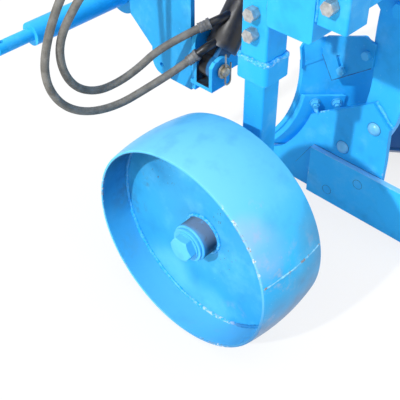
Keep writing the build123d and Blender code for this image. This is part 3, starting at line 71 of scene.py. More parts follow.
RIM_RADIUS = 225.0
CROWN = 8.0
BAND_WALL = 6.0
DISC_FRONT = -346.0
DISC_BACK = -338.0
HUB_RADIUS = 41.0
HUB_START = -388.0
LOWER_AXLE = (-16.0, 233.0)
UPPER_AXLE = (-178.8, 1167.0)
BODY_X = 135.0              # outer face of the landside
FROG_X = 149.0
SHANK_X = 163.0
LANDSIDE_TOP = 140.0
LANDSIDE_BOLTS = ((8, 36), (-76, 101))
CUP_HEADS = ((-87, 265), (-12, 174))
BRACKET_REAR = 151.0        # the space between the ears of the cylinder bracket
BRACKET_FRONT = 187.1
BRACKET_FLOOR = 413.0
BASE_PIN = (-125, 170, 424)
BARREL_EYE = (-123, 154, 448)
WING = (360, -60, 90)
# Which wheel, its axle, and which way round its marks lie
WHEELS = (("lower", LOWER_AXLE, 1), ("upper", UPPER_AXLE, -1))


def mm(value):
    """Metres from millimetres."""
    return value / 1000


def at(x, y, z):
    """Point in the row frame."""
    return Vector((mm(x), mm(LEG_Y + y), mm(z)))


def flipped(points):
    """The same places on the other plough body, which is mirrored in the turnover axis."""
    return [Vector((p.x, p.y, mm(2 * AXIS_Z) - p.z)) for p in points]


def about(centre, x, radius, degrees):
    """Place at an angle about a line along X, counted from straight ahead upwards."""
    a = math.radians(degrees)
    return at(x, centre[0] + radius * math.cos(a), centre[1] + radius * math.sin(a))


def rgb(red, green, blue):
    return red, green, blue, 1


# Colours
WHITE = rgb(1, 1, 1)
BLUE = rgb(0.012, 0.42, 0.94)
BLUE_DEEP = rgb(0.010, 0.36, 0.86)
BLUE_PALE = rgb(0.16, 0.62, 0.98)
BLUE_DULL = rgb(0.014, 0.17, 0.42)
BLUE_DARK = rgb(0.008, 0.055, 0.13)
# Paler tone inside the wheel bands: painted light
BAND_INSIDE_LIT = rgb(0.11, 0.53, 0.86)
# Painted highlight on the landsides' top edges
EDGE_HIGHLIGHT = rgb(0.25, 0.58, 0.88)
# Painted shade on the backs of the mouldboards and shares
BACK_SHADE = rgb(0.010, 0.085, 0.27)
CHALK = rgb(0.42, 0.50, 0.66)
DUST_AND_SHADE = rgb(0.12, 0.19, 0.32)
# Grey of streaks, and of painted shade on the wheel bands
DIRT = rgb(0.075, 0.085, 0.11)
BARE = rgb(0.30, 0.29, 0.29)
BARE_BRIGHT = rgb(0.80, 0.80, 0.80)
GREASE = rgb(0.013, 0.036, 0.075)
# Grease as painted light, where it faces up
GREASE_LIT_TOP = rgb(0.20, 0.26, 0.35)
GREASE_STREAK = rgb(0.16, 0.15, 0.17)
# Grease and painted shade between the ears of the cylinder bracket
PIN_GREASE_AND_SHADE = rgb(0.026, 0.022, 0.024)
WELD_CREST = rgb(0.15, 0.60, 0.98)
WELD_BRIGHT = rgb(0.74, 0.84, 0.90)
WELD_FLECK = rgb(0.52, 0.66, 0.78)
SEAM_LOW = rgb(0.09, 0.44, 0.78)
SEAM_HIGH = rgb(0.26, 0.66, 0.95)
SEAM_SPOT = rgb(0.23, 0.20, 0.21)
LINE_DARK = rgb(0.008, 0.09, 0.25)
LINE_LIGHT = rgb(0.012, 0.20, 0.48)
BLACK_COAT = rgb(0.012, 0.012, 0.013)
BLACK_DUST = rgb(0.075, 0.068, 0.062)
OVERSPRAY = rgb(0.010, 0.17, 0.42)
HOSE_GREY = rgb(0.115, 0.110, 0.098)
HOSE_BLOOM = rgb(0.215, 0.208, 0.19)
HOSE_SPECK = rgb(0.07, 0.068, 0.062)
FLOOR_WHITE = rgb(0.92, 0.92, 0.92)
# Tones of the paint: darker and plain mottling, and a tone painted as light on the side that faces up and to
# the left, towards the key lamp; it is paler on most parts and darker on the discs
PAINTED_LIGHT_SIDE = (-0.62, 0.0, 0.78)
FRAME_TONE = (BLUE_DEEP, BLUE, rgb(0.055, 0.55, 0.97))
WHEEL_TONE = (rgb(0.014, 0.41, 0.85), rgb(0.020, 0.47, 0.92), rgb(0.185, 0.62, 0.95))
DISC_TONE = (BLUE_DEEP, BLUE, rgb(0.060, 0.385, 0.62))
NUT_TONE = (rgb(0.05, 0.42, 0.85), rgb(0.07, 0.48, 0.92), rgb(0.13, 0.58, 0.96))
CUP_TONE = (rgb(0.07, 0.40, 0.74), rgb(0.09, 0.44, 0.80), rgb(0.17, 0.55, 0.82))
BOLT_TONE = (rgb(0.018, 0.32, 0.68), rgb(0.024, 0.38, 0.78), rgb(0.11, 0.56, 0.90))
# Darker tone of the frogs: painted shade
FROG_TONE = (rgb(0.010, 0.34, 0.81), rgb(0.012, 0.39, 0.88), rgb(0.045, 0.49, 0.91))
# Brighter tone of the landsides, which lie in shade: painted light
LANDSIDE_TONE = (rgb(0.010, 0.41, 0.93), rgb(0.012, 0.46, 0.98), rgb(0.055, 0.55, 0.97))
# Darker tone of the cheek plates and trash brackets: painted shade
SHADE_TONE = (rgb(0.010, 0.28, 0.64), rgb(0.012, 0.33, 0.74), rgb(0.035, 0.43, 0.82))
# How strongly painted pieces mirror the room
PAINT_GLOSS = 0.11
BOLT_GLOSS = 0.25
WELD_GLOSS = 0.4
CUP_GLOSS = 0.6


class Surface:
    """A procedural material with helpers for its nodes."""

    def __init__(self, name):
        self.material = bpy.data.materials.new(name)
        self.material.use_nodes = True
        self.tree = self.material.node_tree
        self.shader = self.tree.nodes["Principled BSDF"]
        self.coords = self.tree.nodes.new("ShaderNodeTexCoord").outputs["Object"]

    def link(self, value, socket):
        if isinstance(value, bpy.types.NodeSocket):
            self.tree.links.new(value, socket)
        else:
            socket.default_value = value

    def noise(self, scale, detail=3.0, roughness=0.55, stretch=None):
        node = self.tree.nodes.new("ShaderNodeTexNoise")
        node.inputs["Scale"].default_value = scale
        node.inputs["Detail"].default_value = detail
        node.inputs["Roughness"].default_value = roughness
        vector = self.coords
        if stretch:
            mapping = self.tree.nodes.new("ShaderNodeMapping")
            mapping.inputs["Scale"].default_value = stretch
            self.link(self.coords, mapping.inputs["Vector"])
            vector = mapping.outputs["Vector"]
        self.link(vector, node.inputs["Vector"])
        return node.outputs["Fac"]

    def span(self, value, low, high, start=0.0, end=1.0):
        """Smooth step of a value from low to high."""
        node = self.tree.nodes.new("ShaderNodeMapRange")
        node.interpolation_type = "SMOOTHSTEP"
        self.link(value, node.inputs["Value"])
        node.inputs["From Min"].default_value = low
        node.inputs["From Max"].default_value = high
        node.inputs["To Min"].default_value = start
        node.inputs["To Max"].default_value = end
        return node.outputs["Result"]

    def math(self, operation, a, b=0.0):
        node = self.tree.nodes.new("ShaderNodeMath")
        node.operation = operation
        self.link(a, node.inputs[0])
        self.link(b, node.inputs[1])
        return node.outputs["Value"]

    def plus(self, a, b):
        return self.math("ADD", a, b)

    def minus(self, a, b):
        return self.math("SUBTRACT", a, b)

    def times(self, first, *others):
        for other in others:
            first = self.math("MULTIPLY", first, other)
        return first

    def most(self, first, *others):
        for other in others:
            first = self.math("MAXIMUM", first, other)
        return first

    def mix(self, factor, a, b):
        node = self.tree.nodes.new("ShaderNodeMix")
        node.data_type = "RGBA"
        self.link(factor, node.inputs["Factor"])
        colours = [socket for socket in node.inputs if socket.type == "RGBA"]
        self.link(a, colours[0])
        self.link(b, colours[1])
        return [socket for socket in node.outputs if socket.type == "RGBA"][0]

    def axis(self, letter):
        node = self.tree.nodes.new("ShaderNodeSeparateXYZ")
        self.link(self.coords, node.inputs["Vector"])
        return node.outputs[letter]

    def facing(self, direction):
        """How far the surface of the resting piece faces a direction."""
        node = self.tree.nodes.new("ShaderNodeVectorMath")
        node.operation = "DOT_PRODUCT"
        self.link(self.tree.nodes.new("ShaderNodeTexCoord").outputs["Normal"], node.inputs[0])
        node.inputs[1].default_value = direction
        return node.outputs["Value"]

    def near(self, place, reach):
        """1 round a place, falling to 0 at the reach, in metres."""
        node = self.tree.nodes.new("ShaderNodeVectorMath")
        node.operation = "DISTANCE"
        self.link(self.coords, node.inputs[0])
        node.inputs[1].default_value = place
        return self.span(node.outputs["Value"], reach * 0.35, reach, 1.0, 0.0)

    def bump(self, height, strength, distance):
        node = self.tree.nodes.new("ShaderNodeBump")
        node.inputs["Strength"].default_value = strength
        node.inputs["Distance"].default_value = distance
        self.link(height, node.inputs["Height"])
        self.link(node.outputs["Normal"], self.shader.inputs["Normal"])

    def gloss(self, level):
        self.shader.inputs["Specular IOR Level"].default_value = level

    def finish(self, colour, roughness, metallic=0.0):
        self.link(colour, self.shader.inputs["Base Color"])
        self.link(roughness, self.shader.inputs["Roughness"])
        self.shader.inputs["Metallic"].default_value = metallic
        return self.material


# Paint and its wear
def paint(name, scuffs=(), edge=None, dirt=(), scratches=(), wear_and_painted_light=None, haze_and_painted_light=(), tone=FRAME_TONE,
          gloss=PAINT_GLOSS):
    """Sky-blue machine paint with mottling, with a tone painted as light on the side that faces up and to the
    left, and with marks where they are listed.

    Scuffs and dirt hold a place, a reach in metres and an amount; the tinted patches hold the same and a
    tint, and serve for grey streaks and scuffs and for painted shade and reflection. Scratches hold a place,
    a reach and a stretch. The wear function changes colour and roughness, and also paints light and shade;
    edge is a mask for chipped edges.
    """
    s = Surface(name)
    deep, plain, lit_side_tint = tone
    mottle = s.noise(6.0, 4.0)
    colour = s.mix(s.span(mottle, 0.36, 0.66), deep, plain)
    # Painted light: faces turned up and to the left, towards the key lamp, take the lit-side tone
    colour = s.mix(s.span(s.facing(PAINTED_LIGHT_SIDE), 0.1, 1.0), colour, lit_side_tint)
    colour = s.mix(s.span(s.noise(17.0, 4.0), 0.48, 0.74, 0.0, 0.24), colour, BLUE_DULL)
    colour = s.mix(s.span(s.noise(13.0, 5.0, 0.62), 0.50, 0.80, 0.0, 0.48), colour, BLUE_PALE)
    specks = s.span(s.noise(150.0, 2.0), 0.70, 0.76, 0.0, 0.5)
    colour = s.mix(specks, colour, BLUE_PALE)
    rough = s.span(mottle, 0.3, 0.7, 0.28, 0.42)
    # Tinted patches: some are marks on the paint, and some are painted shade and painted reflection
    for place, reach, amount, tint in haze_and_painted_light:
        cloud = s.span(s.noise(11.0, 3.0), 0.3, 0.7, 0.45 * amount, amount)
        colour = s.mix(s.times(cloud, s.near(place, reach)), colour, tint)
    for place, reach, amount in scuffs:
        patch = s.span(s.noise(34.0, 7.0, 0.68), 0.50, 0.66, 0.0, amount)
        mask = s.times(patch, s.near(place, reach))
        colour = s.mix(mask, colour, CHALK)
        rough = s.plus(rough, s.times(mask, 0.3))
    for place, reach, amount in dirt:
        patch = s.span(s.noise(26.0, 6.0, 0.7), 0.42, 0.62, 0.0, amount)
        mask = s.times(patch, s.near(place, reach))
        colour = s.mix(mask, colour, DIRT)
        rough = s.plus(rough, s.times(mask, 0.35))
    for place, reach, stretch in scratches:
        lines = s.span(s.noise(1.0, 2.0, 0.5, stretch), 0.67, 0.70)
        colour = s.mix(s.times(lines, s.near(place, reach)), colour, DIRT)
    # The wear function adds marks, and painted light and shade
    if wear_and_painted_light:
        colour, rough = wear_and_painted_light(s, colour, rough)
    if edge:
        chips = s.span(s.noise(95.0, 5.0, 0.7), 0.51, 0.57)
        mask = s.times(chips, edge(s))
        shine = s.span(s.noise(60.0, 3.0), 0.45, 0.55)
        colour = s.mix(mask, colour, s.mix(shine, BARE, BARE_BRIGHT))
        rough = s.plus(rough, s.times(mask, 0.2))
    peel = s.plus(s.times(s.noise(420.0, 2.0), 0.4), s.noise(60.0, 3.0))
    s.bump(peel, 0.22, 0.0006)
    s.gloss(gloss)
    return s.finish(colour, rough)


def rim_face(s, start, full, amount=1.0):
    """Mask for the two edges of a wheel band, between two depths below the edge in millimetres."""
    out = s.math("ABSOLUTE", s.minus(s.axis("X"), mm(WHEEL_X)))
    return s.span(out, mm(BAND_HALF - start), mm(BAND_HALF - full), 0.0, amount)


def rim_edge(struck):
    """Mask for the chips along the edges of a wheel band, most of them round the place that was struck."""
    def mask(s):
        lengths = s.span(s.noise(9.0, 2.0), 0.52, 0.66, 0.0, 0.8)
        return s.times(rim_face(s, 4.5, 1.5), s.most(lengths, s.near(struck, 0.10)))
    return mask


def edge_wear(name, width=3.5):
    """Mask for the long edges of a node, where two faces of its box are within a width in millimetres."""
    low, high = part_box(name)

    def mask(s):
        closeness = []
        for letter, a, b in zip("XYZ", low, high):
            value = s.axis(letter)
            gap = s.math("MINIMUM", s.minus(value, a), s.minus(b, value))
            closeness.append(s.span(gap, mm(width) * 0.4, mm(width), 1.0, 0.0))
        first, second, third = closeness
        edges = s.most(s.times(first, second), s.times(second, third), s.times(first, third))
        return s.times(edges, s.span(s.noise(16.0, 2.0), 0.52, 0.66, 0.0, 0.3))
    return mask


def hub_grease_and_light(s, colour, rough):
    """Grease on the round side of a hub: ragged and thin towards the nut, none at its painted ends, and
    lighter where it faces up as painted light.
    """
    x = s.axis("X")
    ragged = s.plus(x, s.times(s.noise(34.0, 4.0), 0.022))
    length = s.times(s.span(ragged, mm(HUB_START + 8), mm(HUB_START + 27), 0.45, 1.0),
                     s.span(x, mm(DISC_FRONT - 6), mm(DISC_FRONT - 2), 1.0, 0.0))
    stain = s.times(s.span(s.noise(26.0, 6.0, 0.65), 0.26, 0.42, 0.5, 1.0),
                    s.span(x, mm(HUB_START + 2), mm(HUB_START + 5)))
    mask = s.times(length, stain)
    # Painted light: the grease is lighter where it faces up
    lit_top = s.span(s.facing((0.0, -0.25, 0.97)), 0.25, 0.95)
    streak = s.span(s.noise(48.0, 4.0), 0.52, 0.66, 0.0, 0.6)
    grease = s.mix(streak, s.mix(lit_top, GREASE, GREASE_LIT_TOP), GREASE_STREAK)
    return s.mix(mask, colour, grease), s.plus(rough, s.times(mask, 0.12))


def band_painted_light(axle, shaded, dark, shaded_rim):
    """Painted light and shade of a wheel band: a paler inside for light bounced in the drum, painted shade
    round two places inside its upper front, and painted shade along a length of its rim.
    """
    def wear_and_painted_light(s, colour, rough):
        across = s.minus(s.axis("Y"), at(0, *axle).y)
        up = s.minus(s.axis("Z"), at(0, *axle).z)
        radius = s.math("SQRT", s.plus(s.times(across, across), s.times(up, up)))
        off_centre = s.times(s.minus(s.axis("X"), mm(WHEEL_X)), 1 / mm(BAND_HALF))
        outer = s.minus(mm(RIM_RADIUS + CROWN), s.times(off_centre, off_centre, mm(CROWN)))
        inside = s.span(s.minus(outer, radius), 0.0035, 0.0045, 0.0, 0.95)
        # Painted light: the inside of the band is paler
        colour = s.mix(s.times(inside, 0.6), colour, BAND_INSIDE_LIT)
        cloud = s.times(inside, s.span(s.noise(9.0, 4.0), 0.3, 0.7, 0.75, 1.0))
        # Painted shade round two places inside the band
        colour = s.mix(s.times(cloud, s.near(shaded, 0.20)), colour, BLUE_DULL)
        colour = s.mix(s.times(cloud, s.near(dark, 0.15)), colour, BLUE_DARK)
        # Painted shade along a length of the rim
        rim = rim_face(s, 1.8, 0.6, 0.62)
        return s.mix(s.times(rim, s.near(shaded_rim, 0.27)), colour, BLUE_DULL), rough
    return wear_and_painted_light


def bracket_grease_and_shade(s, colour, rough):
    """Dark grease and painted shade between the ears of the cylinder bracket, round the pin."""
    smear = s.span(s.noise(40.0, 4.0), 0.3, 0.6, 0.8, 1.0)
    y = s.axis("Y")
    between = s.times(s.span(y, at(0, BRACKET_REAR - 1, 0).y, at(0, BRACKET_REAR + 1, 0).y),
                      s.span(y, at(0, BRACKET_FRONT - 0.9, 0).y, at(0, BRACKET_FRONT + 0.9, 0).y, 1.0, 0.0))
    above = s.span(s.axis("Z"), mm(BRACKET_FLOOR - 0.5), mm(BRACKET_FLOOR + 0.5))
    mask = s.times(between, above, s.near(at(*BASE_PIN), 0.075), smear)
    return s.mix(mask, colour, PIN_GREASE_AND_SHADE), rough


def back_shade(place, back):
    """Painted shade round a place, on the side of a mouldboard or share that faces back."""
    def wear_and_painted_light(s, colour, rough):
        mask = s.times(s.near(place, 0.20), s.span(s.facing(back), 0.0, 0.3))
        return s.mix(s.times(mask, 0.92), colour, BACK_SHADE), rough
    return wear_and_painted_light


def edge_highlight(inner, edge):
    """Painted highlight along a landside's top edge, from an inner height to its edge."""
    def wear_and_painted_light(s, colour, rough):
        return s.mix(s.span(s.axis("Z"), mm(inner), mm(edge), 0.0, 0.75), colour, EDGE_HIGHLIGHT), rough
    return wear_and_painted_light


def wheel_paints(half, axle, turn):
    """Paint of one wheel's band, disc and hub, with the marks of the wheel in the photo."""
    def rim(angle, radius, x):
        return about(axle, x, radius, angle * turn)

    def on_disc(angle, radius):
        return rim(angle, radius, DISC_FRONT)

    drum = paint(
        f"paint_{half}_drum", tone=WHEEL_TONE,
        scuffs=[(rim(136, 230, -388), 0.055, 0.4), (rim(160, 230, -400), 0.06, 0.35),
                (rim(168, 230, -330), 0.10, 0.28), (rim(188, 226, -415), 0.07, 0.45),
                (rim(250, 222, -405), 0.10, 0.22)],
        dirt=[(rim(3, 220, -358), 0.055, 0.95), (rim(11, 220, -374), 0.05, 0.8),
              (rim(-6, 220, -370), 0.04, 0.6), (rim(-35, 220, -395), 0.05, 0.25)],
        # Tinted patches: the first, behind and below the axle on the lower wheel, is painted shade and
        # painted reflection of the ground; the next two are grey streaks and the last two chalky scuffs.
        haze_and_painted_light=[(rim(208, 230, -340), 0.19, 0.9, DUST_AND_SHADE), (rim(186, 228, -290), 0.09, 0.5, DUST_AND_SHADE),
              (rim(160, 230, -262), 0.08, 0.45, DUST_AND_SHADE), (rim(150, 230, -400), 0.07, 0.35, CHALK),
              (rim(138, 228, -408), 0.05, 0.4, CHALK)],
        edge=rim_edge(rim(141, 226, -422)),
        # Painted light inside the band, painted shade inside its upper front and on its rim behind and below
        # the axle
        wear_and_painted_light=band_painted_light(axle, rim(28, 220, -395), rim(50, 220, -385), rim(225, 222, -422)))
    disc = paint(
        f"paint_{half}_disc", tone=DISC_TONE,
        scuffs=[(on_disc(-118, 205), 0.05, 0.3)],
        dirt=[(on_disc(15, 175), 0.022, 0.7), (on_disc(-10, 205), 0.05, 0.4)],
        scratches=[(on_disc(115, 78), 0.045, (30, 330, 150)), (on_disc(205, 70), 0.04, (30, 150, 330)),
                   (on_disc(40, 160), 0.06, (30, 300, 200))],
        # Tinted patches on the disc: the first, at its upper front, is painted shade under the band's edge;
        # the two paler ones lie low near the weld.
        haze_and_painted_light=[(on_disc(42, 208), 0.11, 0.8, BLUE_DULL), (on_disc(-62, 205), 0.10, 0.7, BLUE_PALE),
              (on_disc(-95, 205), 0.08, 0.6, BLUE_PALE)])
    hub = paint(f"paint_{half}_hub", wear_and_painted_light=hub_grease_and_light, tone=NUT_TONE)
    return {"drum": drum, "disc": disc, "hub": hub}


# Other materials
def metal(name, light, dark, grain, roughness, metallic, stretch=None):
    """Plated or bare metal with fine grain and stains."""
    s = Surface(name)
    stain = s.noise(grain, 5.0, 0.6, stretch)
    colour = s.mix(s.span(stain, 0.35, 0.68), dark, light)
    rough = s.span(stain, 0.3, 0.7, roughness + 0.14, roughness)
    s.bump(s.noise(700.0, 2.0), 0.12, 0.0003)
    return s.finish(colour, rough, metallic)


def black_paint():
    """Dusty black paint of the cylinder, with blue overspray at its eye."""
    s = Surface("black_paint")
    dust = s.span(s.noise(24.0, 6.0, 0.65), 0.45, 0.75, 0.0, 0.6)
    colour = s.mix(dust, BLACK_COAT, BLACK_DUST)
    spray = s.times(s.span(s.axis("Y"), at(0, 162, 0).y, at(0, 166, 0).y, 0.9, 0.0),
                    s.near(at(*BARREL_EYE), 0.06))
    colour = s.mix(spray, colour, OVERSPRAY)
    rough = s.span(s.noise(24.0, 6.0, 0.65), 0.4, 0.7, 0.32, 0.6)
    s.bump(s.noise(380.0, 2.0), 0.15, 0.0004)
    return s.finish(colour, rough)


def hose_rubber():
    """Matt hose cover with bloom, specks and the marks of its cloth wrapping."""
    s = Surface("hose_rubber")
    bloom = s.noise(42.0, 6.0, 0.65)
    colour = s.mix(s.span(bloom, 0.33, 0.70), HOSE_GREY, HOSE_BLOOM)
    colour = s.mix(s.span(s.noise(160.0, 3.0), 0.62, 0.72, 0.0, 0.5), colour, HOSE_SPECK)
    wrap = s.tree.nodes.new("ShaderNodeTexWave")
    wrap.wave_type = "BANDS"
    wrap.bands_direction = "DIAGONAL"
    wrap.inputs["Scale"].default_value = 1.0
    wrap.inputs["Distortion"].default_value = 0.6
    mapping = s.tree.nodes.new("ShaderNodeMapping")
    mapping.inputs["Scale"].default_value = (2.0, 95.0, 0.0)
    uv = s.tree.nodes.new("ShaderNodeTexCoord")
    s.link(uv.outputs["UV"], mapping.inputs["Vector"])
    s.link(mapping.outputs["Vector"], wrap.inputs["Vector"])
    s.bump(s.plus(s.times(wrap.outputs["Fac"], 0.5), s.noise(300.0, 3.0)), 0.35, 0.0006)
    return s.finish(colour, s.span(bloom, 0.3, 0.7, 0.55, 0.75))


def weld_paint(name, pale, white, spots=(), shaded=()):
    """Painted weld with pale crests, and with flecks of bare metal and lengths of painted shade where they
    are listed.
    """
    s = Surface(name)
    crest = s.span(s.noise(120.0, 4.0, 0.6), 0.40, 0.66, 0.0, pale)
    colour = s.mix(crest, BLUE, WELD_CREST)
    bright = s.span(s.noise(230.0, 3.0), 0.55, 0.66, 0.0, white)
    colour = s.mix(bright, colour, WELD_BRIGHT)
    for place, reach in spots:
        fleck = s.times(s.span(s.noise(110.0, 4.0, 0.65), 0.46, 0.56), s.near(place, reach))
        colour = s.mix(fleck, colour, WELD_FLECK)
    # Painted shade on the listed lengths
    for place, reach in shaded:
        colour = s.mix(s.times(s.near(place, reach), 0.85), colour, BLUE_DULL)
    s.bump(s.noise(520.0, 3.0), 0.4, 0.0006)
    s.gloss(WELD_GLOSS)
    return s.finish(colour, s.span(crest, 0.0, 1.0, 0.34, 0.46))


def seam_paint():
    """Seam of the wheel bands: pale paint, rubbed through to dark and reddish spots."""
    s = Surface("weld_seam")
    colour = s.mix(s.span(s.noise(100.0, 3.0), 0.40, 0.60), SEAM_LOW, SEAM_HIGH)
    colour = s.mix(s.span(s.noise(75.0, 4.0, 0.65), 0.53, 0.60), colour, SEAM_SPOT)
    s.bump(s.noise(500.0, 2.0), 0.3, 0.0005)
    return s.finish(colour, 0.5)


def dark_line():
    """Dark paint for joints between pieces, and for painted shade and painted shadow along edges."""
    s = Surface("dark_line")
    return s.finish(s.mix(s.span(s.noise(90.0, 3.0), 0.4, 0.65), LINE_DARK, LINE_LIGHT), 0.6)


PAINT = paint("paint_frame")
NUT_PAINT = paint("paint_nut", tone=NUT_TONE)
SHADE_PAINT = paint("paint_shade", tone=SHADE_TONE)
WELD = weld_paint("weld_paint", 0.55, 0.12)
PALE_WELD = weld_paint("weld_pale", 1.0, 0.5)
SMOOTH_WELD = weld_paint("weld_smooth", 1.0, 0.15)
SEAM = seam_paint()
LINE = dark_line()
ZINC = metal("zinc", rgb(0.62, 0.58, 0.47), rgb(0.40, 0.35, 0.25), 90.0, 0.30, 0.75)
PLATED = metal("zinc_bolts", rgb(0.62, 0.63, 0.62), rgb(0.42, 0.42, 0.41), 90.0, 0.32, 0.75)
STEEL = metal("ferrule_steel", rgb(0.24, 0.24, 0.235), rgb(0.12, 0.12, 0.12), 70.0, 0.50, 0.2)
COUPLING = metal("coupling_steel", rgb(0.62, 0.62, 0.61), rgb(0.40, 0.40, 0.40), 60.0, 0.26, 0.85)
BRONZE = metal("bronze", rgb(0.60, 0.38, 0.16), rgb(0.40, 0.24, 0.09), 80.0, 0.30, 0.85)
CHROME = metal("chrome_rod", rgb(0.80, 0.81, 0.83), rgb(0.66, 0.67, 0.70), 30.0, 0.08, 0.95, (1, 14, 14))
BLACK = black_paint()
RUBBER = hose_rubber()

# Nodes with a finish of their own; all others have the plain paint
SPECIAL = {
    "cylinder_base_pin": ZINC,
    "base_pin_clip": ZINC,
    "clamp_bolts": PLATED,
    "stop_bolts": PLATED,
    "bearing_bushes": BRONZE,
    "hose_couplings": COUPLING,
    "cylinder_barrel": BLACK,
    "cylinder_gland": BLACK,
    "piston_rod": CHROME,
    "cylinder_bracket": paint("paint_bracket", wear_and_painted_light=bracket_grease_and_shade),
    "frog_bolts": paint("paint_cup_heads", tone=CUP_TONE, gloss=CUP_GLOSS),
    "body_nuts": paint("paint_body_nuts", tone=BOLT_TONE, gloss=BOLT_GLOSS),
    # Cheek plates in the darker paint: painted shade
    "left_cheek_plate": SHADE_PAINT,
    "right_cheek_plate": SHADE_PAINT,
}
# Heights between which a painted highlight along a landside's top edge fades in, below its top
HIGHLIGHT_FROM = LANDSIDE_TOP - 2.8
HIGHLIGHT_FULL = LANDSIDE_TOP - 0.6
for half, axle, turn in WHEELS:
    SPECIAL[f"{half}_hose"] = RUBBER
    SPECIAL[f"{half}_axle_nut"] = NUT_PAINT
    # Trash brackets in the darker paint: painted shade
    SPECIAL[f"{half}_trash_bracket"] = SHADE_PAINT
    for part, material in wheel_paints(half, axle, turn).items():
        SPECIAL[f"{half}_wheel_{part}"] = material
    for piece, tone in (("wheel_leg", FRAME_TONE), ("sleeve_collar", FRAME_TONE), ("frog", FROG_TONE)):
        name = f"{half}_{piece}"
        SPECIAL[name] = paint("paint_" + name, edge=edge_wear(name), tone=tone)
    upper = half == "upper"
    heights = [2 * AXIS_Z - z if upper else z for z in (HIGHLIGHT_FROM, HIGHLIGHT_FULL)]
    name = f"{half}_landside"
    SPECIAL[name] = paint("paint_" + name, edge=edge_wear(name), wear_and_painted_light=edge_highlight(*heights), tone=LANDSIDE_TONE)
    wing = flipped([at(*WING)])[0] if upper else at(*WING)
    back = (-0.6, -0.6, 0.5 if upper else -0.5)
    # Painted shade on the backs of the mouldboard and share, round the wing
    for piece in ("mouldboard", "share"):
        name = f"{half}_{piece}"
        SPECIAL[name] = paint("paint_" + name, wear_and_painted_light=back_shade(wing, back))

for name, node in nodes.items():
    for place in node.material_slots:
        place.material = SPECIAL.get(name, PAINT)

# Rounded edges on the plates, tubes and bolts
JOIN_GAP = 0.02
FLAT_ANGLE = 0.4
SHARP_ANGLE = 38
EDGE_ROUND = 1.2
for name, node in nodes.items():
    if name in ("lower_hose", "upper_hose", "base_pin_clip"):
        continue
    weld = node.modifiers.new("join", "WELD")
    weld.merge_threshold = mm(JOIN_GAP)
    flat = node.modifiers.new("flat", "DECIMATE")
    flat.decimate_type = "DISSOLVE"
    flat.angle_limit = math.radians(FLAT_ANGLE)
    bevel = node.modifiers.new("edge", "BEVEL")
    bevel.width = mm(EDGE_ROUND)
    bevel.segments = 2
    bevel.limit_method = "ANGLE"
    bevel.angle_limit = math.radians(SHARP_ANGLE)
    normals = node.modifiers.new("normals", "WEIGHTED_NORMAL")
    normals.keep_sharp = True


# Shapes of new pieces
def add_piece(name, points, faces, body, material, uvs=None):
    """New smooth mesh piece that moves with a body."""
    mesh = bpy.data.meshes.new(name)
    mesh.from_pydata([tuple(p) for p in points], [], faces)
    mesh.polygons.foreach_set("use_smooth", [True] * len(mesh.polygons))
    if uvs:
        layer = mesh.uv_layers.new(name="UVMap")
        for loop in mesh.loops:
            layer.data[loop.index].uv = uvs[loop.vertex_index]
    mesh.materials.append(material)
    piece = bpy.data.objects.new(name, mesh)
    bpy.context.scene.collection.objects.link(piece)
    if body:
        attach(piece, body)
    return piece


def ring(centre, side, up, radius, sides):
    """Points round a circle across two directions."""
    angles = [2 * math.pi * k / sides for k in range(sides)]
    return [centre + (side * math.cos(a) + up * math.sin(a)) * radius for a in angles]


def skin(rings, sides, closed=False):
    """Faces between rings of points that follow each other."""
    faces = []
    for i in range(rings if closed else rings - 1):
        j = (i + 1) % rings
        for k in range(sides):
            m = (k + 1) % sides
            faces.append((i * sides + k, i * sides + m, j * sides + m, j * sides + k))
    return faces


def frames_along(path, closed):
    """Two cross directions at each point of a path."""
    count = len(path)
    tangents = []
    for i in range(count):
        ahead = path[(i + 1) % count] if closed else path[min(i + 1, count - 1)]
        behind = path[i - 1] if closed else path[max(i - 1, 0)]
        tangents.append((ahead - behind).normalized())
    side = tangents[0].orthogonal().normalized()
    result = []
    for tangent in tangents:
        side = (side - tangent * side.dot(tangent)).normalized()
        result.append((side, tangent.cross(side)))
    return result


def tube(path, radii, sides, closed=False):
    """Points, faces and texture places of a round tube along a path."""
    points, uvs = [], []
    run = 0.0
    for i, (place, (side, up)) in enumerate(zip(path, frames_along(path, closed))):
        if i:
            run += (place - path[i - 1]).length
        points += ring(place, side, up, radii[i], sides)
        uvs += [(k / sides, run) for k in range(sides)]
    faces = skin(len(path), sides, closed)
    if not closed:
        faces.append(tuple(range(sides))[::-1])
        faces.append(tuple((len(path) - 1) * sides + k for k in range(sides)))
    return points, faces, uvs


def turned(name, profile, start, direction, body, material, sides=28):
    """Piece turned about a line: profile holds distance along it and radius, in millimetres."""
    way = direction.normalized()
    side = way.orthogonal().normalized()
    up = way.cross(side)
    points = []
    for along, radius in profile:
        points += ring(start + way * mm(along), side, up, mm(radius), sides)
    return add_piece(name, points, skin(len(profile), sides), body, material)


def evenly(corners, step, closed=False):
    """Points along straight runs between corners, about a step in millimetres apart."""
    result = []
    ends = corners[1:] + corners[:1] if closed else corners[1:]
    for a, b in zip(corners, ends):
        parts = max(1, round((b - a).length / mm(step)))
        result += [a.lerp(b, i / parts) for i in range(parts)]
    return result if closed else result + [corners[-1]]


def circle(x, axle, radius, step):
    """Points on a circle about a wheel's axle, about a step in millimetres apart."""
    count = round(2 * math.pi * radius / step)
    return [about(axle, x, radius, 360 * i / count) for i in range(count)]


# Weld beads; sizes are radii in millimetres
NOISE_SEED = 7      # without one, noise_vector follows the clock and the beads differ from run to run
WELD_STEP = 3.4
FINE_STEP = 3.2
HUB_STEP = 2.6
LUMPS = 0.35
DROP_POINTS = 4     # path points from one drop of weld to the next
DROP_FALL = 0.16
BEAD_DRIFT = 0.28
BEAD_LEAST = 0.45
BEAD_END = 0.55
BEAD_SIDES = 8
noise.seed_set(NOISE_SEED)


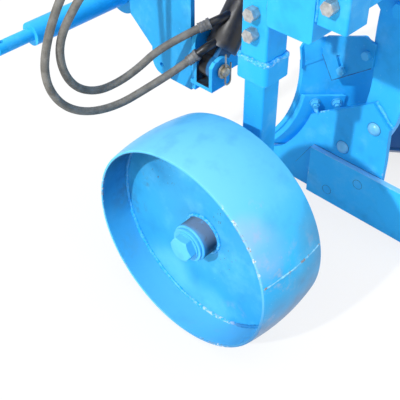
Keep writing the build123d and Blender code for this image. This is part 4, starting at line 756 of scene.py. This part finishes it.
def bead(name, path, size, body, closed=False, lumps=LUMPS, material=WELD):
    """Weld bead: overlapping drops along a path, uneven in height and place."""
    places, radii = [], []
    for i, p in enumerate(path):
        drift = noise.noise_vector(p * 55) * mm(size) * BEAD_DRIFT
        drop = 1.0 - DROP_FALL * ((i % DROP_POINTS) / (DROP_POINTS - 1))
        swell = 1.0 + lumps * noise.noise(p * 42) + 0.5 * lumps * noise.noise(p * 150)
        places.append(p + drift)
        radii.append(mm(size) * drop * max(BEAD_LEAST, swell))
    if not closed:
        radii[0] *= BEAD_END
        radii[-1] *= BEAD_END
    points, faces, uvs = tube(places, radii, BEAD_SIDES, closed)
    return add_piece(name, points, faces, body, material, uvs)


def band_radius(x):
    """Outer radius of the crowned wheel band."""
    return RIM_RADIUS + CROWN * (1 - ((x - WHEEL_X) / BAND_HALF) ** 2)


# Welds of the two wheels: angles and reaches of the bare lengths and of the lengths of painted shade between
# disc and band
DISC_CORNER = band_radius(DISC_FRONT) - BAND_WALL
BARE_LENGTHS = ((258, 0.10),)
SHADED_LENGTHS = ((42, 0.20), (234, 0.07))
SEAM_ANGLE = 166
SEAM_POINTS = 57
SEAM_HALF = BAND_HALF - 1.5
SEAM_DEPTH = 1.3


def corner_marks(axle, turn, lengths):
    """Places and reaches along the corner between a wheel's disc and band."""
    return [(about(axle, DISC_FRONT, DISC_CORNER, angle * turn), reach) for angle, reach in lengths]


for half, axle, turn in WHEELS:
    wheel = half + "_wheel"
    disc_weld = weld_paint(f"weld_{half}_disc", 0.55, 0.1, corner_marks(axle, turn, BARE_LENGTHS),
                           corner_marks(axle, turn, SHADED_LENGTHS))
    for name, x, radius, step, size, lumps, material in (
            ("disc_front", DISC_FRONT - 1.0, DISC_CORNER - 1.0, WELD_STEP, 5.0, 0.24, disc_weld),
            ("disc_back", DISC_BACK + 1.2, DISC_CORNER - 1.2, WELD_STEP, 3.8, LUMPS, WELD),
            ("hub_front", DISC_FRONT - 1.0, HUB_RADIUS + 2.6, HUB_STEP, 4.3, 0.16, SMOOTH_WELD),
            ("hub_back", DISC_BACK + 1.0, HUB_RADIUS + 1.0, HUB_STEP, 4.0, LUMPS, WELD)):
        bead(f"weld_{half}_{name}", circle(x, axle, radius, step), size, wheel, True, lumps, material)
    stations = [WHEEL_X + (2 * i / (SEAM_POINTS - 1) - 1) * SEAM_HALF for i in range(SEAM_POINTS)]
    seam = [about(axle, x, band_radius(x) - SEAM_DEPTH, SEAM_ANGLE * turn) for x in stations]
    bead(f"weld_{half}_seam", seam, 2.6, wheel, False, 0.45, SEAM)

# Welds of the sleeves' collars
COLLAR_WELD = 5.6
COLLAR_HALF = SLEEVE / 2 + 1.6
COLLAR_CORNER = 6.5
COLLAR_RISE = 0.6


def collar_weld(name, y, z):
    """Weld along a rounded square about a sleeve."""
    flat = COLLAR_HALF - COLLAR_CORNER
    points = []
    for across, ahead, first in ((1, 1, 0), (-1, 1, 90), (-1, -1, 180), (1, -1, 270)):
        for i in range(5):
            a = math.radians(first + i * 22.5)
            points.append(at(LEG_X + across * flat + COLLAR_CORNER * math.cos(a),
                             y + ahead * flat + COLLAR_CORNER * math.sin(a), z))
    bead(name, evenly(points, WELD_STEP, True), COLLAR_WELD, "turnover", True, 0.5, PALE_WELD)


collar_weld("weld_lower_collar", 0, COLLAR_TOP + COLLAR_RISE)
collar_weld("weld_upper_collar", -UPPER_LEG_BACK, 2 * AXIS_Z - COLLAR_TOP - COLLAR_RISE)

# Straight welds of the frame and the headstock
FRAME_WELDS = {
    "sleeve_left": ((SLEEVE_LEFT, BEAM_FRONT, 655), (SLEEVE_LEFT, BEAM_FRONT, 706)),
    "sleeve_right": ((SLEEVE_RIGHT, BEAM_FRONT, 655), (SLEEVE_RIGHT, BEAM_FRONT, 706)),
    "sleeve_back_left": ((SLEEVE_LEFT, BEAM_BACK, 694), (SLEEVE_LEFT, BEAM_BACK, 745)),
    "sleeve_back_right": ((SLEEVE_RIGHT, BEAM_BACK, 694), (SLEEVE_RIGHT, BEAM_BACK, 745)),
    "carrier_top": ((CARRIER_X, -126, BEAM_HIGH), (CARRIER_X, -38, BEAM_HIGH)),
    "carrier_low": ((CARRIER_X, -126, BEAM_LOW), (CARRIER_X, -38, BEAM_LOW)),
    "carrier_front": ((CARRIER_X, BEAM_FRONT, 656), (CARRIER_X, BEAM_FRONT, 744)),
    "carrier_rear": ((CARRIER_X, BEAM_BACK, 656), (CARRIER_X, BEAM_BACK, 744)),
}
HEAD_WELDS = {
    "mast_left": ((-40, 142, 840), (-40, 334, 840)),
    "mast_right": ((40, 142, 840), (40, 334, 840)),
    "cross_left": ((-126, 205, 384), (-126, 205, 432)),
    "cross_right": ((126, 205, 398), (126, 205, 516)),
    "rear_left": ((-126, 66, 646), (-126, 66, 820)),
    "rear_right": ((126, 66, 646), (126, 66, 820)),
    "bracket_foot": ((-149, 205, 404), (-97, 205, 404)),
    "top_left": ((-126, 60, 826), (-126, 330, 826)),
    "top_right": ((126, 60, 826), (126, 330, 826)),
}
for welds, size, body in ((FRAME_WELDS, 4.0, "turnover"), (HEAD_WELDS, 3.6, "headstock")):
    for name, (a, b) in welds.items():
        bead("weld_" + name, evenly([at(*a), at(*b)], WELD_STEP), size, body)

# Welds of the plough bodies: frog to shank, and the tack between frog and stay
FROG_EDGE = [at(SHANK_X - 2, -75.5, 331), at(SHANK_X - 2, -127.5, 280)]
TACK = [at(151, 81, 243), at(150, 77, 240), at(149.5, 72, 236), at(149.5, 68, 231)]
TACK_RUN = [at(150.5, 64, 239.5), at(150.5, 40, 255.5)]
for name, path, size, lumps, material in (
        ("frog", evenly(FROG_EDGE, FINE_STEP), 4.6, LUMPS, WELD),
        ("tack", TACK, 5.8, 0.5, PALE_WELD),
        ("tack_run", evenly(TACK_RUN, FINE_STEP), 2.8, 0.4, PALE_WELD)):
    bead("weld_lower_" + name, path, size, "turnover", False, lumps, material)
    bead("weld_upper_" + name, flipped(path), size, "turnover", False, lumps, material)

# Dark lines: joints round the flush landside bolts; a joint with painted shade round the cup heads; a joint
# with painted shadow above the landside; a line across the frog; painted shadow under the trash bracket's
# edge; sizes are radii in millimetres
LINE_STEP = 10.0
LINE_SIDES = 6
LANDSIDE_HOLE = 12.7
CUP_RADIUS = 17.2
LANDSIDE_SEAM_SHADOW = [at(FROG_X, 69, LANDSIDE_TOP + 0.3), at(FROG_X, -128, LANDSIDE_TOP + 0.3)]
FROG_LINE = [at(FROG_X, 77, 131), at(FROG_X, 121, 57)]
BRACKET_EDGE = [at(155, 81, 391), at(155, 47, 335), at(155, -50, 408)]


def joint(name, path, size, closed=False):
    """Dark line on both plough bodies."""
    for half, run in (("lower", path), ("upper", flipped(path))):
        points, faces, uvs = tube(run, [mm(size)] * len(run), LINE_SIDES, closed)
        add_piece(f"{half}_{name}", points, faces, "turnover", LINE, uvs)


def round_joint(name, x, centre, radius):
    """Dark line round a bolt head."""
    joint(name, [about(centre, x, radius, 10 * k) for k in range(36)], 0.6, True)


for i, bolt in enumerate(LANDSIDE_BOLTS):
    round_joint(f"landside_joint_{i}", BODY_X + 0.1, bolt, LANDSIDE_HOLE)
# Dark rings round the cup heads: joints with painted shade
for i, head in enumerate(CUP_HEADS):
    round_joint(f"cup_joint_{i}", FROG_X - 0.3, head, CUP_RADIUS)
# Dark line above the landside: a joint with painted contact shadow
joint("landside_seam_shadow", evenly(LANDSIDE_SEAM_SHADOW, LINE_STEP), 0.9)
# Dark line across the frog, ahead of the landside
joint("frog_line", evenly(FROG_LINE, LINE_STEP), 0.4)
# Painted shadow under the trash bracket's lower edge
joint("bracket_shadow_line", evenly(BRACKET_EDGE, LINE_STEP), 1.1)

# Hoses: the routes of the CAD tubes as control points of smooth splines
HOSE_DIAMETER = 0.017
HOSE_SIDES = 16
LOWER_ROUTE = (
    (-157.9, 184.1, 481.3), (-182.0, 204.2, 456.4),
    (-236, 243, 416), (-306, 272, 387), (-384, 285, 402), (-438, 293, 448), (-459, 300, 514),
    (-438, 306, 582), (-385, 312, 660), (-300, 316, 735), (-222, 308, 812), (-172, 290, 880),
    (-150, 275, 938.8), (-150, 275, 984.8),
)
UPPER_ROUTE = (
    (-119.7, 185.6, 538.0), (-149.7, 207.6, 523.2),
    (-208, 250, 486), (-234, 274, 450), (-276, 291, 426), (-334, 299, 424), (-388, 300, 458),
    (-416, 300, 516), (-414, 298, 580), (-370, 291, 642), (-296, 286, 706), (-222, 279, 764),
    (-168, 278, 840), (-120, 275, 896), (-100, 275, 938.8), (-100, 275, 984.8),
)
# Crimped sleeve on a hose end: distance along the hose, and radius
FERRULE = (
    (-6, 8.6), (-6, 12.0), (-5, 12.6), (0, 12.6), (1, 11.8), (1, 10.6), (3, 10.6), (4, 11.2), (7, 11.2),
    (8, 10.6), (10, 10.6), (11, 11.2), (14, 11.2), (15, 10.6), (17, 10.6), (18, 11.2), (20, 11.2),
    (21, 10.4), (21, 8.3),
)


def spline_points(name, route):
    """Points of the smooth spline whose control points are the route."""
    curve = bpy.data.curves.new(name, "CURVE")
    curve.dimensions = "3D"
    curve.resolution_u = 10
    line = curve.splines.new("NURBS")
    line.points.add(len(route) - 1)
    for point, place in zip(line.points, route):
        point.co = (*at(*place), 1)
    line.order_u = 3
    line.use_endpoint_u = True
    piece = bpy.data.objects.new(name, curve)
    bpy.context.scene.collection.objects.link(piece)
    bpy.context.view_layer.update()
    mesh = bpy.data.meshes.new_from_object(piece.evaluated_get(bpy.context.evaluated_depsgraph_get()))
    bpy.data.objects.remove(piece)
    return [v.co.copy() for v in mesh.vertices]


def hose(name, route, node):
    """Hose in place of its CAD node, with a ferrule on the cylinder's port that moves with the cylinder and
    one on the coupling at the headstock.
    """
    line = spline_points(name, route)
    points, faces, uvs = tube(line, [HOSE_DIAMETER / 2] * len(line), HOSE_SIDES)
    body = add_piece(name, points, faces, None, RUBBER, uvs)
    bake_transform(body)
    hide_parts(node)
    ends = [turned(name + "_ferrule_port", FERRULE, at(*route[0]), at(*route[1]) - at(*route[0]),
                   "cylinder", STEEL),
            turned(name + "_ferrule_coupling", FERRULE, at(*route[-1]), at(*route[-2]) - at(*route[-1]),
                   "headstock", STEEL)]


hose("hose_lower", LOWER_ROUTE, "lower_hose")
hose("hose_upper", UPPER_ROUTE, "upper_hose")

# Camera
AZIMUTH = math.radians(-46.5)
ELEVATION = math.radians(41.4)
CAMERA_PLACE = (-1201, -818, 1356)
LENS = 72
SENSOR = 36
camera_data = bpy.data.cameras.new("camera")
camera_data.lens = LENS
camera_data.sensor_width = SENSOR
camera = bpy.data.objects.new("camera", camera_data)
bpy.context.scene.collection.objects.link(camera)
toward = Vector((math.sin(AZIMUTH) * math.cos(ELEVATION), -math.cos(AZIMUTH) * math.cos(ELEVATION),
                 math.sin(ELEVATION)))
camera.location = at(*CAMERA_PLACE)
camera.rotation_euler = (-toward).to_track_quat("-Z", "Y").to_euler()
bpy.context.scene.camera = camera

# Light: a sharp lamp from the left, a wide one from above and an even white room
KEY_ENERGY = 2.35
KEY_WIDTH = 1.8
KEY_WAY = Vector((1.0, -0.03, -0.735))
OVERHEAD_ENERGY = 1.2
OVERHEAD_WIDTH = 80
OVERHEAD_TILT = 22
ROOM_LIGHT = 0.54
BACKDROP_LIGHT = 1.0


def sun(name, energy, width, rotation):
    """Distant lamp that looks as wide as an angle in degrees."""
    data = bpy.data.lights.new(name, "SUN")
    data.energy = energy
    data.angle = math.radians(width)
    lamp = bpy.data.objects.new(name, data)
    lamp.rotation_euler = rotation
    bpy.context.scene.collection.objects.link(lamp)


sun("key", KEY_ENERGY, KEY_WIDTH, KEY_WAY.to_track_quat("-Z", "Y").to_euler())
sun("overhead", OVERHEAD_ENERGY, OVERHEAD_WIDTH, (math.radians(OVERHEAD_TILT), 0, 0))


def seen_rays(tree):
    """1 for rays that show the background itself: straight, in a reflection or through glass."""
    path = tree.nodes.new("ShaderNodeLightPath")
    seen = path.outputs["Is Camera Ray"]
    for ray in ("Is Glossy Ray", "Is Transmission Ray"):
        either = tree.nodes.new("ShaderNodeMath")
        either.operation = "MAXIMUM"
        tree.links.new(seen, either.inputs[0])
        tree.links.new(path.outputs[ray], either.inputs[1])
        seen = either.outputs["Value"]
    return seen


world = bpy.data.worlds.new("studio")
bpy.context.scene.world = world
world.use_nodes = True
sky = world.node_tree
room = sky.nodes["Background"]
room.inputs["Color"].default_value = WHITE
room.inputs["Strength"].default_value = ROOM_LIGHT
backdrop = sky.nodes.new("ShaderNodeBackground")
backdrop.inputs["Color"].default_value = WHITE
backdrop.inputs["Strength"].default_value = BACKDROP_LIGHT
choice = sky.nodes.new("ShaderNodeMixShader")
sky.links.new(seen_rays(sky), choice.inputs["Fac"])
sky.links.new(room.outputs["Background"], choice.inputs[1])
sky.links.new(backdrop.outputs["Background"], choice.inputs[2])
sky.links.new(choice.outputs["Shader"], sky.nodes["World Output"].inputs["Surface"])

# Floor: white, keeping a light shadow
FLOOR_SIZE = 14
FLOOR_ROUGHNESS = 0.8
FLOOR_GLOW = 0.8    # share of plain white in the floor as it is seen
bpy.ops.mesh.primitive_plane_add(size=FLOOR_SIZE)
floor = bpy.context.object
floor.name = "floor"
floor_material = bpy.data.materials.new("floor")
floor_material.use_nodes = True
ground = floor_material.node_tree
matt = ground.nodes["Principled BSDF"]
matt.inputs["Base Color"].default_value = FLOOR_WHITE
matt.inputs["Roughness"].default_value = FLOOR_ROUGHNESS
glow = ground.nodes.new("ShaderNodeEmission")
glow.inputs["Strength"].default_value = BACKDROP_LIGHT
share = ground.nodes.new("ShaderNodeMath")
share.operation = "MULTIPLY"
share.inputs[1].default_value = FLOOR_GLOW
ground.links.new(seen_rays(ground), share.inputs[0])
blend = ground.nodes.new("ShaderNodeMixShader")
ground.links.new(share.outputs["Value"], blend.inputs["Fac"])
ground.links.new(matt.outputs["BSDF"], blend.inputs[1])
ground.links.new(glow.outputs["Emission"], blend.inputs[2])
ground.links.new(blend.outputs["Shader"], ground.nodes["Material Output"].inputs["Surface"])
floor.data.materials.append(floor_material)
bpy.context.scene.view_settings.view_transform = "Standard"
